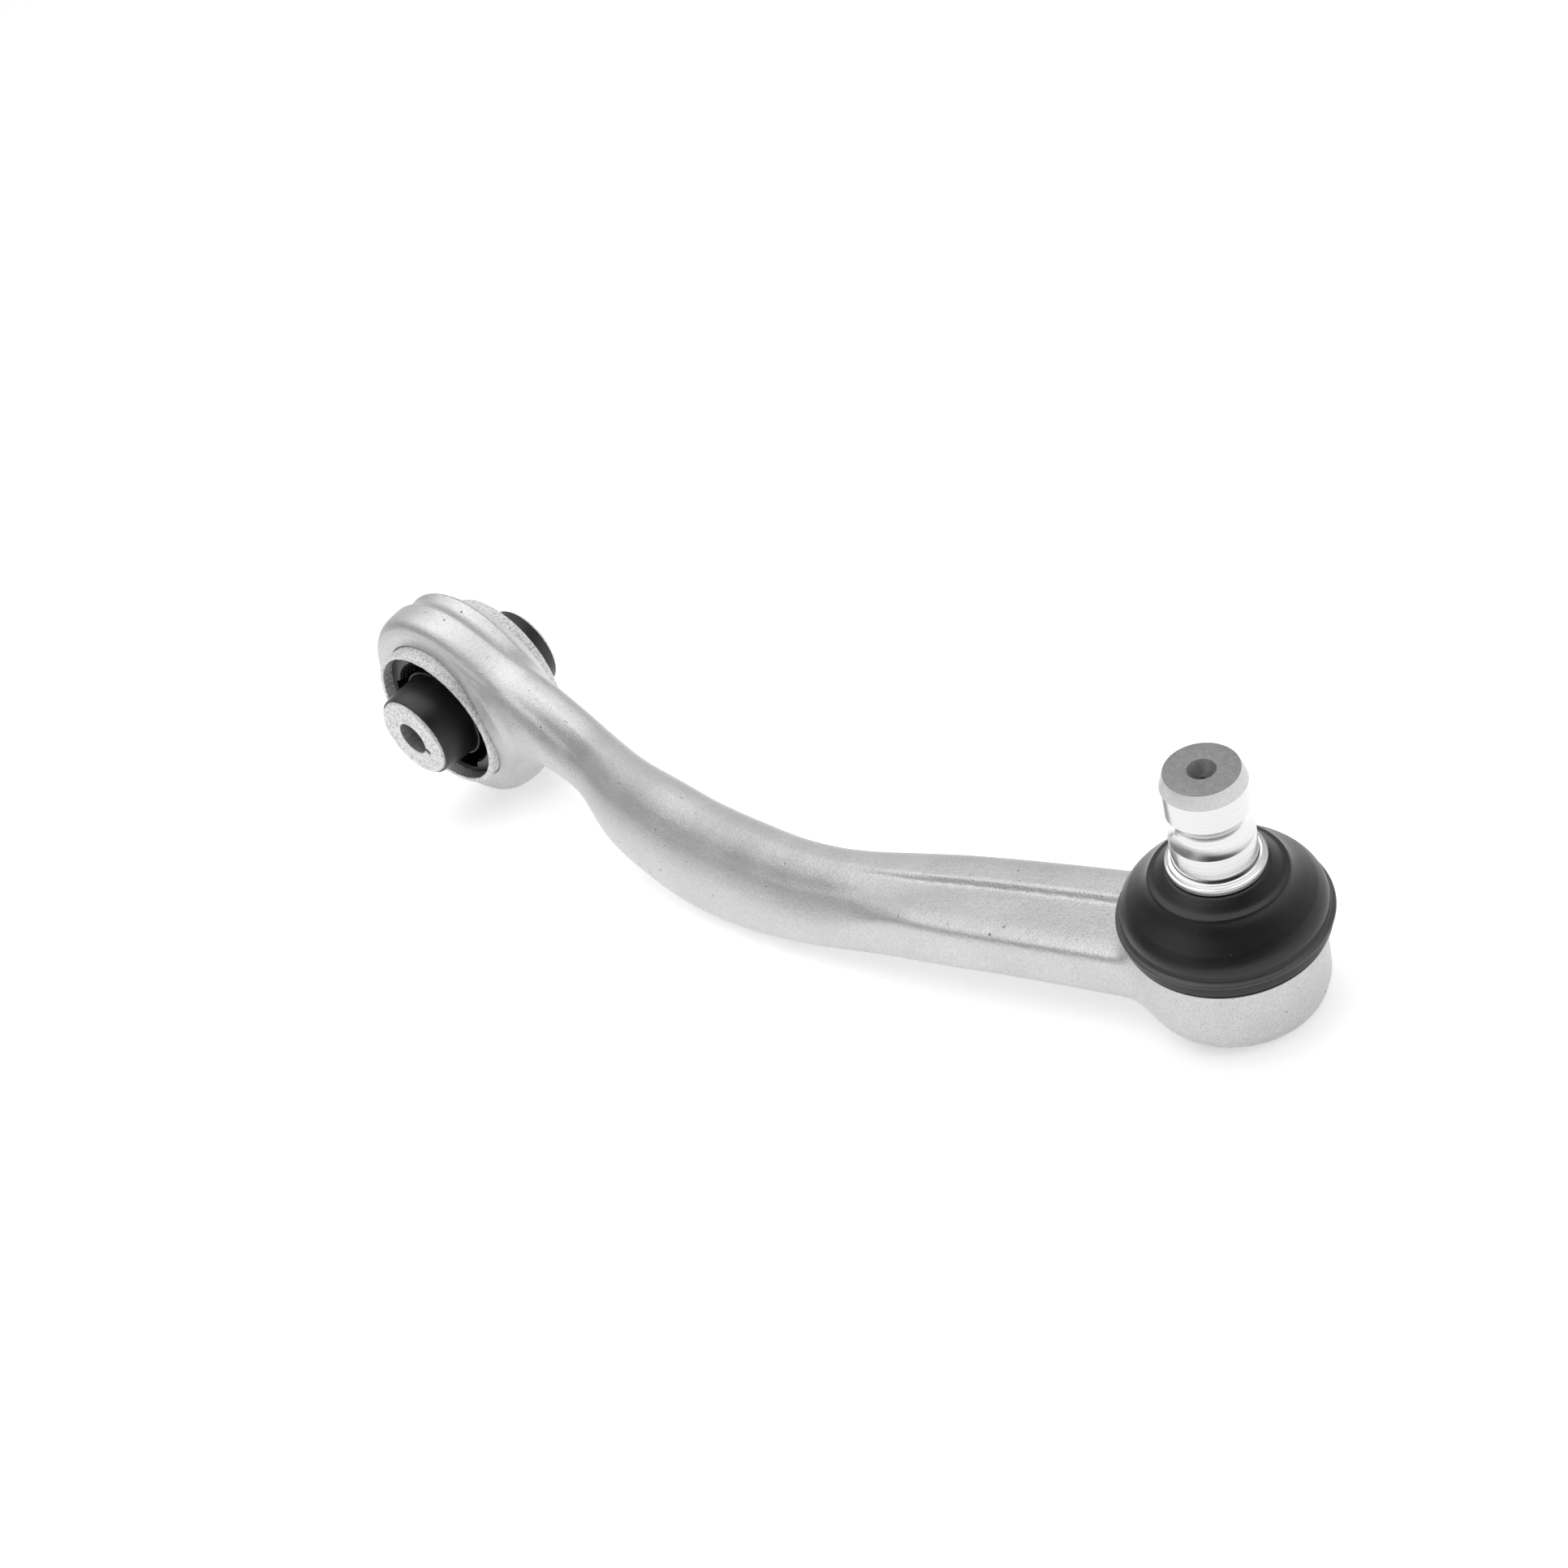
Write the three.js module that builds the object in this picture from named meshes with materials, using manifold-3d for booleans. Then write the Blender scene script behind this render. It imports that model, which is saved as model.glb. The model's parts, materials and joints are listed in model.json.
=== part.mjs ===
// Forged control arm: a rubber bush at one end, a ball joint at the other.
// Millimetres, +Z up. X runs from the bush towards the ball joint, and Y is the bush's axis.

import * as THREE from "three";
import { mergeVertices } from "three/addons/utils/BufferGeometryUtils.js";
import Module from "manifold-3d";

const wasm = await Module();
wasm.setup();

// ---- Driving dimensions -------------------------------------------------------------------------

const seatGap = 0.3; // clearance left between two solids that touch on the real part
const overcut = 2; // how far a cutting solid runs past the face that it cuts

// Where the ball centre lies, measured from the bush centre
const ballReach = 290.3;
const ballOffset = -31.6;
const ballDrop = -2.9;
const housingTilt = 12.6; // degrees, the housing's axis leaning away from the bush
const housingLean = 1.6; // degrees, the same axis leaning towards -Y

// Bush
const boltBoreDiameter = 10.2;
const innerSleeveRadius = 12.2;
const innerSleeveLength = 47.5;
const innerSleeveChamfer = 0.5;
const sleeveEdge = 0.4; // chamfer on the outer sleeve and on the core's rubber
const boreSeamWidth = 1.3;
const boreSeamDepth = 1.8;
const boreSeamAngle = -40; // degrees from +X towards +Z
const coreCoatWall = 1;
const coreCoatSetback = 0.9; // bare metal left at each end of the inner sleeve
const outerSleeveRadius = 22.7;
const outerSleeveWall = 1.6;
const outerSleeveLength = 29;
const linerWall = 1.4; // rubber between the outer sleeve and the voids
const linerSetback = 1.6; // the moulding ends inside the outer sleeve
const hubWall = 1.5; // rubber between the core and the voids
const voidHalfAngle = 52;
const voidDirections = [123, -57]; // degrees from +X towards +Z
const bumperHeight = 1.9;
const bumperHalfAngle = 24;
const bumperSlope = 4; // degrees over which each end of a bumper slopes down

// Eye of the forging
const eyeWidth = 20.2;
const eyeWall = 8.2; // forging around the outer sleeve, at the crown
const eyeNearWall = 5.6; // the same at the -Y face
const eyeFarWall = 2.3; // and at the +Y face
const eyeCrownWidth = 6.4;
const eyeCrownOffset = 2.2; // the crown lies nearer to the +Y face
const eyeEdgeReach = 1; // the rounded edge at each face of the eye
const eyeEdgeDepth = 0.8;

// Ball joint, heights along its own axis from the ball centre
const ballRadius = 11;
const ballFlatHeight = -9.6;
const neckRadius = 5.8;
const neckTop = 12.2;
const neckFlare = 1.8; // height of the gentle start of the neck's flare
const neckFlareReach = 0.7;
const shankRadius = 8;
const shankBottom = 15.6;
const grooveBottom = 26.7;
const grooveTop = 33.5;
const grooveDepth = 1.5;
const grooveShoulder = 0.4; // the groove's corners, above its floor
const grooveSlope = 0.9; // and in from its edges
const grooveFloorWidth = 2;
const shankTop = 39.1;
const studTop = 42;
const studTipChamfer = 1;
const centreDrillRadius = 2.6;
const centreDrillDepth = 3.2;
const centreDrillStep = 0.5; // share of the depth where the drilled cone gets steeper

const seatWall = 2.1;
const seatMouthAngle = 60; // degrees from the axis to the rim of the bearing shell
const seatBottom = -10.9;
const seatFloorHeight = 1; // the shell's inner edge, above its foot
const seatRimWidth = 0.6;
const seatRimSlope = 0.75; // fall of the shell's rim for each millimetre outwards
const capThickness = 1.4;
const capRecess = 0.8;
const capLandWidth = 0.6; // how far the cap reaches past the bearing shell
const rolledLipReach = 0.9; // how far the housing's rolled edge reaches over the cap
const capDish = 0.5;
const capDishRadius = 0.62; // shares of the cap's radius
const capFlatRadius = 0.7;

const housingRadius = 18.3;
const housingFootRadius = 17.5;
const housingFootChamfer = 3;
const housingFootEdge = 0.6;
const bootSeatRadius = 16.8;
const bootSeatBottom = 2.4;
const housingTop = 7.3;
const housingMouthRadius = 11.4;

// Dust boot and its rings
const bootWall = 1.6;
const bootLipRadius = 19.4;
const bootBulgeRadius = 20.2;
const bootBulgeHeight = 8.6;
const bootCreaseHeight = 16;
const bootLipEdge = 0.4;
const bootShoulder = 0.6; // how far the bulge draws in at its lower and upper edges
// The boot's dome above the bulge, outside and inside: in from the bulge's radius, up from its height
const bootDome = [
  [0, 0],
  [bootShoulder, 1.5],
  [2, 3.2],
  [4.1, 4.9],
];
const bootDomeInside = [
  [4.7, 3.6],
  [2.6, 1.8],
];
const bootTop = 19;
const beadDepth = 4.2; // height of the bead that grips the shank
const clampHeight = 2.2;
const clampBottom = 3.7;
const clampDepth = 1.2;
const clampProud = 0.4; // how far the clamp stands out past the boot's lip
const clampEdge = 0.4;
const beadInnerWall = 1.1; // rubber between the shank and the ring in the bead
const beadOuterWall = 1.8; // and from that ring out to the crease
const beadRingWall = 1.3;
const beadRingHeight = 1.5;
const collarWall = 1.1;
const collarStep = 0.5; // how far the upper part of the collar steps in
const collarHeight = 2.2;
const collarStepHeight = 1.3;
const collarEdge = 0.2;

// Arm between the eye and the housing: one entry for each section that shapes it. "along" is its
// share of the way from the bush centre to the ball centre, side and rise are its offsets from
// the straight line between them, wide and tall are its half sizes, and boxy is its squareness.
const armSections = [
  { along: 0.02, side: 0.1, rise: -0.1, wide: 9.4, tall: 21, boxy: 2.6 },
  { along: 0.08, side: 0.1, rise: -0.4, wide: 9.2, tall: 16.6, boxy: 2.6 },
  { along: 0.14, side: -1.4, rise: -0.8, wide: 8.8, tall: 12.4, boxy: 2.6 },
  { along: 0.2, side: -3.6, rise: -2.6, wide: 8.2, tall: 9.2, boxy: 2.6 },
  { along: 0.25, side: -6.2, rise: -5, wide: 8, tall: 8.6, boxy: 2.6 },
  { along: 0.32, side: -11.9, rise: -8, wide: 9.5, tall: 11, boxy: 2.9 },
  { along: 0.39, side: -15, rise: -9.8, wide: 10.1, tall: 12.5, boxy: 3 },
  { along: 0.45, side: -16.6, rise: -11.4, wide: 10.2, tall: 12.7, boxy: 3 },
  { along: 0.52, side: -17.8, rise: -11.1, wide: 9.9, tall: 12.3, boxy: 3 },
  { along: 0.59, side: -18.1, rise: -9.8, wide: 9.5, tall: 10.9, boxy: 3 },
  { along: 0.66, side: -16.4, rise: -8.3, wide: 9.8, tall: 9.7, boxy: 3.2 },
  { along: 0.76, side: -11.6, rise: -6.4, wide: 12.3, tall: 8.1, boxy: 3.6 },
  { along: 0.84, side: -7.7, rise: -5.3, wide: 12.9, tall: 7.6, boxy: 3.8 },
  { along: 0.91, side: -4.2, rise: -4.9, wide: 13.1, tall: 7.5, boxy: 4 },
  { along: 0.98, side: -1.0, rise: -4.7, wide: 13, tall: 7.4, boxy: 4 },
];
const shelfDepth = 1.8; // the front shelf lies this far below the back rib
const shelfStart = 0.655; // shares of the way along the arm
const shelfFull = 0.75;
const shelfBlend = 2.5; // width of the slope between the rib and the shelf
const ribWidth = 8.5;
const bevelDrop = 3.5; // before the shelf, the top slopes down this far towards the front
const bevelStart = 0.13;
const bevelFull = 0.27;
const bevelBack = 7.5; // width of the flat left behind the bevel
const bevelFront = -0.45; // where the bevel ends, as a share of the half width

// How finely curved shapes are divided
const latheSteps = 32;
const armSteps = 36;
const ballSteps = 12;
const seatSteps = 10;
const headingStep = 0.01; // share of the arm over which its heading is measured
const samePoint = 1e-4; // corners closer than this are one corner
const sectionSteps = 24;

const innerBoreRadius = boltBoreDiameter / 2;
const eyeBore = outerSleeveRadius + seatGap;
const eyeRadius = eyeBore + eyeWall;
const eyeNearShoulder = eyeBore + eyeNearWall;
const eyeFarShoulder = eyeBore + eyeFarWall;
const outerSleeveBore = outerSleeveRadius - outerSleeveWall;
const coreCoatRadius = innerSleeveRadius + seatGap + coreCoatWall;
const seatRadius = ballRadius + seatGap;
const seatOuterRadius = seatRadius + seatWall;
const capRadius = seatOuterRadius + capLandWidth;
const capTop = seatBottom - seatGap;
const capBottom = capTop - capThickness;
const housingFoot = capBottom - capRecess;
const beadRingInner = shankRadius + 2 * seatGap + beadInnerWall;
const bootCreaseRadius = beadRingInner + beadRingWall + seatGap + beadOuterWall;
const collarRadius = shankRadius + seatGap + collarWall;
const radians = THREE.MathUtils.degToRad;

// ---- Solids ---------------------------------------------------------------------------------------

function signedVolume(position, index) {
  const corners = [new THREE.Vector3(), new THREE.Vector3(), new THREE.Vector3()];
  let total = 0;
  for (let i = 0; i < index.length; i += 3) {
    corners.forEach((corner, k) => corner.fromBufferAttribute(position, index[i + k]));
    total += corners[0].dot(corners[1].cross(corners[2])) / 6;
  }
  return total;
}

// Joins shared corners, drops the empty triangles at a pole and turns every face outwards.
function closed(geometry) {
  const bare = geometry.clone();
  bare.deleteAttribute("normal");
  bare.deleteAttribute("uv");
  bare.clearGroups();
  const merged = mergeVertices(bare, samePoint);
  const from = merged.index.array;
  const index = [];
  for (let i = 0; i < from.length; i += 3) {
    const [a, b, c] = [from[i], from[i + 1], from[i + 2]];
    if (a !== b && b !== c && c !== a) index.push(a, b, c);
  }
  if (signedVolume(merged.attributes.position, index) < 0) index.reverse();
  merged.setIndex(index);
  return merged;
}

function toSolid(geometry) {
  const shape = closed(geometry);
  return new wasm.Manifold(
    new wasm.Mesh({
      numProp: 3,
      vertProperties: new Float32Array(shape.attributes.position.array),
      triVerts: new Uint32Array(shape.index.array),
    })
  );
}

function toGeometry(solid) {
  const mesh = solid.getMesh();
  const geometry = new THREE.BufferGeometry();
  geometry.setAttribute("position", new THREE.BufferAttribute(mesh.vertProperties, 3));
  geometry.setIndex(new THREE.BufferAttribute(mesh.triVerts, 1));
  return geometry;
}

// A solid of revolution about Y from [radius, height] points, which it closes if they stay off the axis.
function lathe(outline, steps = latheSteps) {
  const points = outline.map(([radius, height]) => new THREE.Vector2(radius, height));
  const onAxis = points[0].x === 0 && points[points.length - 1].x === 0;
  if (!onAxis) points.push(points[0].clone());
  return closed(new THREE.LatheGeometry(points, steps));
}

// The same, standing on Z.
function uprightLathe(outline, steps) {
  return lathe(outline, steps).rotateX(Math.PI / 2);
}

// Points on an arc about [centreRadius, centreHeight], with angles in degrees from the outward direction.
function arc(centreRadius, centreHeight, radius, from, to, steps) {
  const points = [];
  for (let i = 0; i <= steps; i++) {
    const angle = radians(from + ((to - from) * i) / steps);
    points.push([centreRadius + radius * Math.cos(angle), centreHeight + radius * Math.sin(angle)]);
  }
  return points;
}

// A closed skin over rings of equal length, with a flat end at each side.
function loft(rings) {
  const count = rings[0].length;
  const positions = [];
  const index = [];
  for (const ring of rings) for (const p of ring) positions.push(p.x, p.y, p.z);
  for (let r = 0; r < rings.length - 1; r++) {
    for (let i = 0; i < count; i++) {
      const a = r * count + i;
      const b = r * count + ((i + 1) % count);
      index.push(a, b, a + count, b, b + count, a + count);
    }
  }
  for (const [ring, flip] of [[0, true], [rings.length - 1, false]]) {
    const middle = new THREE.Vector3();
    for (const p of rings[ring]) middle.addScaledVector(p, 1 / count);
    positions.push(middle.x, middle.y, middle.z);
    const hub = positions.length / 3 - 1;
    for (let i = 0; i < count; i++) {
      const a = ring * count + i;
      const b = ring * count + ((i + 1) % count);
      if (flip) index.push(hub, b, a);
      else index.push(hub, a, b);
    }
  }
  const geometry = new THREE.BufferGeometry();
  geometry.setAttribute("position", new THREE.Float32BufferAttribute(positions, 3));
  geometry.setIndex(index);
  return closed(geometry);
}

// ---- Materials ------------------------------------------------------------------------------------

function finish(color, roughness, metalness) {
  return new THREE.MeshStandardMaterial({ color, roughness, metalness });
}

const forgedAluminium = finish(0xb9babb, 0.42, 1);
const sandedAluminium = finish(0xc6c7c8, 0.6, 1);
const machinedSteel = finish(0xc9cacc, 0.25, 1);
const blackRubber = finish(0x161617, 0.6, 0);
const blackSteel = finish(0x202124, 0.45, 1);
const bearingPlastic = finish(0xd9d6cc, 0.5, 0);

function piece(name, geometry, material) {
  const mesh = new THREE.Mesh(geometry, material);
  mesh.name = name;
  return mesh;
}

// ---- The forging ----------------------------------------------------------------------------------

// Reads one value of the arm's sections at a distance along the arm, on a smooth curve through them.
function sectionCurve(read) {
  const last = armSections.length - 1;
  return (t) => {
    const place = Math.min(t * last, last - samePoint);
    const i = Math.floor(place);
    const u = place - i;
    const at = (k) => read(armSections[Math.min(Math.max(k, 0), last)]);
    const [p0, p1, p2, p3] = [at(i - 1), at(i), at(i + 1), at(i + 2)];
    const slopeIn = (p2 - p0) / 2;
    const slopeOut = (p3 - p1) / 2;
    const cube = 2 * p1 - 2 * p2 + slopeIn + slopeOut;
    const square = -3 * p1 + 3 * p2 - 2 * slopeIn - slopeOut;
    return ((cube * u + square) * u + slopeIn) * u + p1;
  };
}

const armCurves = {
  along: sectionCurve((s) => s.along),
  side: sectionCurve((s) => s.side),
  rise: sectionCurve((s) => s.rise),
  wide: sectionCurve((s) => s.wide),
  tall: sectionCurve((s) => s.tall),
  boxy: sectionCurve((s) => s.boxy),
};

function armMiddle(t) {
  const along = armCurves.along(t);
  return new THREE.Vector3(
    along * ballReach,
    along * ballOffset + armCurves.side(t),
    along * ballDrop + armCurves.rise(t)
  );
}

// The level direction square to the arm, pointing to +Y.
function armAcross(t) {
  const ahead = armMiddle(Math.min(t + headingStep, 1));
  const behind = armMiddle(Math.max(t - headingStep, 0));
  const run = ahead.sub(behind).setZ(0).normalize();
  return new THREE.Vector3(-run.y, run.x, 0);
}

function smoothStep(from, to, value) {
  return THREE.MathUtils.smoothstep(value, from, to);
}

// One section of the arm: a rounded rectangle. Its top slopes to the front along most of the arm,
// and drops to a level shelf near the housing.
function armRing(t) {
  const middle = armMiddle(t);
  const across = armAcross(t);
  const wide = armCurves.wide(t);
  const tall = armCurves.tall(t);
  const power = 2 / armCurves.boxy(t);
  const along = armCurves.along(t);
  const shelfShare = smoothStep(shelfStart, shelfFull, along);
  const bevel = bevelDrop * smoothStep(bevelStart, bevelFull, along) * (1 - shelfShare);
  const bevelTop = wide - bevelBack;
  const bevelFoot = wide * bevelFront;
  const ribFront = wide - ribWidth;
  const ring = [];
  for (let i = 0; i < sectionSteps; i++) {
    const angle = (2 * Math.PI * i) / sectionSteps;
    const level = wide * Math.sign(Math.cos(angle)) * Math.abs(Math.cos(angle)) ** power;
    const shelf = shelfDepth * shelfShare * (1 - smoothStep(ribFront - shelfBlend, ribFront, level));
    const slope = THREE.MathUtils.clamp((bevelTop - level) / (bevelTop - bevelFoot), 0, 1);
    const top = tall * Math.sign(Math.sin(angle)) * Math.abs(Math.sin(angle)) ** power;
    const height = Math.min(top, tall - shelf - bevel * slope);
    ring.push(middle.clone().addScaledVector(across, level).setZ(middle.z + height));
  }
  return ring;
}

function armBody() {
  const rings = [];
  for (let i = 0; i <= armSteps; i++) rings.push(armRing(i / armSteps));
  return toSolid(loft(rings));
}

// The eye's rim has a crown along its middle and slopes to a shoulder at each face.
function eyeBody() {
  const face = eyeWidth / 2;
  const crownStart = eyeCrownOffset - eyeCrownWidth / 2;
  const crownEnd = eyeCrownOffset + eyeCrownWidth / 2;
  return toSolid(
    lathe([
      [0, -face],
      [eyeNearShoulder, -face],
      [eyeNearShoulder + eyeEdgeReach, -face + eyeEdgeDepth],
      [eyeRadius, crownStart],
      [eyeRadius, crownEnd],
      [eyeFarShoulder + eyeEdgeReach, face - eyeEdgeDepth],
      [eyeFarShoulder, face],
      [0, face],
    ])
  );
}

// Puts a piece that was made upright at the ball joint's place and lean.
const housingPose = new THREE.Matrix4()
  .makeRotationFromEuler(new THREE.Euler(radians(housingLean), radians(housingTilt), 0))
  .setPosition(ballReach, ballOffset, ballDrop);

function housingBody() {
  const foot = housingFoot;
  return toSolid(
    uprightLathe([
      [0, foot],
      [housingFootRadius - housingFootEdge, foot],
      [housingFootRadius, foot + housingFootEdge],
      [housingRadius, foot + housingFootChamfer],
      [housingRadius, bootSeatBottom],
      [bootSeatRadius, bootSeatBottom],
      [bootSeatRadius, housingTop],
      [0, housingTop],
    ]).applyMatrix4(housingPose)
  );
}

// The room inside the housing for the bearing shell and the cap, and the mouth that the neck swings in.
function housingRoom() {
  const shell = seatOuterRadius + seatGap;
  const cap = capRadius + seatGap;
  const lip = capRadius - rolledLipReach;
  const rim = seatRim(seatOuterRadius + seatGap);
  return toSolid(
    uprightLathe([
      [0, housingFoot - overcut],
      [lip, housingFoot - overcut],
      [lip, capBottom - seatGap],
      [cap, capBottom - seatGap],
      [cap, seatBottom - seatGap / 2],
      [shell, seatBottom - seatGap / 2],
      [shell, rim.shoulder],
      [rim.mouth + seatGap * 2, rim.top + seatGap],
      [housingMouthRadius, housingTop],
      [housingMouthRadius, housingTop + overcut],
      [0, housingTop + overcut],
    ]).applyMatrix4(housingPose)
  );
}

// Where the bearing shell's rim lies, for an outer radius of the shell.
function seatRim(outer) {
  const angle = radians(seatMouthAngle);
  const mouth = (ballRadius + seatGap) * Math.sin(angle);
  const top = (ballRadius + seatGap) * Math.cos(angle);
  return { mouth, top, shoulder: top - (outer - mouth) * seatRimSlope };
}

function makeForging() {
  const boreEnd = outerSleeveLength / 2 + overcut;
  const bore = lathe([
    [0, -boreEnd],
    [eyeBore, -boreEnd],
    [eyeBore, boreEnd],
    [0, boreEnd],
  ]);
  const solid = eyeBody()
    .add(armBody())
    .add(housingBody())
    .subtract(toSolid(bore))
    .subtract(housingRoom());
  return piece("arm_forging", toGeometry(solid), forgedAluminium);
}

// ---- Bush -----------------------------------------------------------------------------------------

function sleeveOutline(inner, outer, length, chamfer) {
  const end = length / 2;
  return [
    [inner, -end],
    [outer - chamfer, -end],
    [outer, -end + chamfer],
    [outer, end - chamfer],
    [outer - chamfer, end],
    [inner, end],
  ];
}

function makeOuterSleeve() {
  const outline = sleeveOutline(outerSleeveBore, outerSleeveRadius, outerSleeveLength, sleeveEdge);
  return piece("bush_outer_sleeve", lathe(outline), sandedAluminium);
}

function makeInnerSleeve() {
  const outline = sleeveOutline(
    innerBoreRadius,
    innerSleeveRadius,
    innerSleeveLength,
    innerSleeveChamfer
  );
  const seamReach = innerBoreRadius + boreSeamDepth;
  const seam = new THREE.BoxGeometry(seamReach, innerSleeveLength + overcut, boreSeamWidth)
    .translate(seamReach / 2, 0, 0)
    .rotateY(-radians(boreSeamAngle));
  const solid = toSolid(lathe(outline)).subtract(toSolid(seam));
  return piece("bush_inner_sleeve", toGeometry(solid), sandedAluminium);
}

function makeCoreRubber() {
  const inner = innerSleeveRadius + seatGap;
  const length = innerSleeveLength - 2 * coreCoatSetback;
  const outline = sleeveOutline(inner, coreCoatRadius, length, sleeveEdge);
  return piece("bush_core_rubber", lathe(outline), blackRubber);
}

// A kidney-shaped hole in the moulding, with a bumper standing in from its outer wall.
function kidney(direction, inner, outer) {
  const path = new THREE.Path();
  const bumper = outer - bumperHeight;
  const at = (offset) => radians(direction + offset);
  path.absarc(0, 0, inner, at(-voidHalfAngle), at(voidHalfAngle), false);
  path.absarc(0, 0, outer, at(voidHalfAngle), at(bumperHalfAngle), true);
  path.absarc(0, 0, bumper, at(bumperHalfAngle - bumperSlope), at(bumperSlope - bumperHalfAngle), true);
  path.absarc(0, 0, outer, at(-bumperHalfAngle), at(-voidHalfAngle), true);
  path.closePath();
  return path;
}

function makeOuterRubber() {
  const outer = outerSleeveBore - seatGap;
  const inner = coreCoatRadius + seatGap;
  const length = outerSleeveLength - 2 * linerSetback;
  const shape = new THREE.Shape();
  shape.absarc(0, 0, outer, 0, 2 * Math.PI);
  const hole = new THREE.Path();
  hole.absarc(0, 0, inner, 0, 2 * Math.PI);
  shape.holes.push(hole);
  for (const direction of voidDirections) {
    shape.holes.push(kidney(direction, inner + hubWall, outer - linerWall));
  }
  const geometry = new THREE.ExtrudeGeometry(shape, {
    depth: length,
    bevelEnabled: false,
    curveSegments: latheSteps / 2,
  });
  // The outline lies in XZ once the extrusion is turned to run along Y.
  geometry.translate(0, 0, -length / 2).rotateX(Math.PI / 2);
  return piece("bush_rubber", closed(geometry), blackRubber);
}

// ---- Ball joint -----------------------------------------------------------------------------------

function makeBallStud() {
  const lowest = THREE.MathUtils.radToDeg(Math.asin(ballFlatHeight / ballRadius));
  const highest = THREE.MathUtils.radToDeg(Math.acos(neckRadius / ballRadius));
  const grooveMiddle = (grooveBottom + grooveTop) / 2;
  const grooveFloor = shankRadius - grooveDepth;
  return piece(
    "ball_stud",
    uprightLathe([
      [0, ballFlatHeight],
      ...arc(0, 0, ballRadius, lowest, highest, ballSteps),
      [neckRadius, neckTop],
      [neckRadius + neckFlareReach, neckTop + neckFlare],
      [shankRadius, shankBottom],
      [shankRadius, grooveBottom],
      [grooveFloor + grooveShoulder, grooveBottom + grooveSlope],
      [grooveFloor, grooveMiddle - grooveFloorWidth / 2],
      [grooveFloor, grooveMiddle + grooveFloorWidth / 2],
      [grooveFloor + grooveShoulder, grooveTop - grooveSlope],
      [shankRadius, grooveTop],
      [shankRadius, shankTop],
      [shankRadius - studTipChamfer, studTop],
      [centreDrillRadius, studTop],
      [centreDrillRadius * centreDrillStep, studTop - centreDrillDepth * centreDrillStep],
      [0, studTop - centreDrillDepth],
    ]),
    machinedSteel
  );
}

function makeBallSeat() {
  const rim = seatRim(seatOuterRadius);
  const floorRise = (seatBottom + seatFloorHeight) / seatRadius;
  const floorAngle = THREE.MathUtils.radToDeg(Math.asin(floorRise));
  return piece(
    "ball_seat",
    uprightLathe([
      ...arc(0, 0, seatRadius, floorAngle, 90 - seatMouthAngle, seatSteps),
      [rim.mouth + seatRimWidth, rim.top],
      [seatOuterRadius, rim.shoulder],
      [seatOuterRadius, seatBottom],
      [seatRadius * Math.cos(radians(floorAngle)), seatBottom],
    ]),
    bearingPlastic
  );
}

function makeHousingCap() {
  return piece(
    "housing_cap",
    uprightLathe([
      [0, capBottom + capDish],
      [capRadius * capDishRadius, capBottom + capDish],
      [capRadius * capFlatRadius, capBottom],
      [capRadius, capBottom],
      [capRadius, capTop],
      [0, capTop],
    ]),
    blackSteel
  );
}

// The boot's wall from its lip on the housing, out over the bulge and in to the bead on the stud.
function makeDustBoot() {
  const inner = bootSeatRadius + seatGap;
  const lipBottom = bootSeatBottom + seatGap;
  const clampFloor = bootLipRadius - clampDepth;
  const clampTop = clampBottom + clampHeight;
  const bead = shankRadius + seatGap;
  const groove = beadRingInner - seatGap;
  const grooveOuter = beadRingInner + beadRingWall + seatGap;
  const beadBottom = bootTop - beadDepth;
  const grooveRoof = beadBottom + beadRingHeight + seatGap;
  const inwards = ([inBy, up]) => [bootBulgeRadius - inBy, bootBulgeHeight + up];
  return piece(
    "dust_boot",
    uprightLathe([
      [inner, lipBottom],
      [bootLipRadius - bootLipEdge, lipBottom],
      [bootLipRadius, lipBottom + bootLipEdge],
      [clampFloor, clampBottom - seatGap],
      [clampFloor, clampTop + seatGap],
      [bootBulgeRadius - bootShoulder, clampTop + seatGap],
      [bootBulgeRadius, bootBulgeHeight - bootShoulder],
      ...bootDome.map(inwards),
      [bootCreaseRadius + bootShoulder, bootCreaseHeight - bootShoulder],
      [bootCreaseRadius, bootCreaseHeight],
      [bootCreaseRadius - bootShoulder, bootCreaseHeight + bootShoulder],
      [bead + bootWall, bootTop],
      [bead, bootTop],
      [bead, beadBottom],
      [groove, beadBottom],
      [groove, grooveRoof],
      [grooveOuter, grooveRoof],
      [grooveOuter, beadBottom],
      [bootCreaseRadius, bootCreaseHeight - bootWall],
      ...bootDomeInside.map(inwards),
      [bootBulgeRadius - bootWall, bootBulgeHeight],
      [inner, clampTop + seatGap],
    ]),
    blackRubber
  );
}

function makeLowerClamp() {
  const inner = bootLipRadius - clampDepth + seatGap;
  const outer = bootLipRadius + clampProud;
  const top = clampBottom + clampHeight;
  return piece(
    "boot_lower_clamp",
    uprightLathe([
      [inner, clampBottom],
      [outer - clampEdge, clampBottom],
      [outer, clampBottom + clampEdge],
      [outer, top - clampEdge],
      [outer - clampEdge, top],
      [inner, top],
    ]),
    blackSteel
  );
}

function makeBeadRing() {
  const bottom = bootTop - beadDepth;
  const outer = beadRingInner + beadRingWall;
  return piece(
    "boot_bead_ring",
    uprightLathe([
      [beadRingInner, bottom],
      [outer, bottom],
      [outer, bottom + beadRingHeight],
      [beadRingInner, bottom + beadRingHeight],
    ]),
    blackSteel
  );
}

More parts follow.
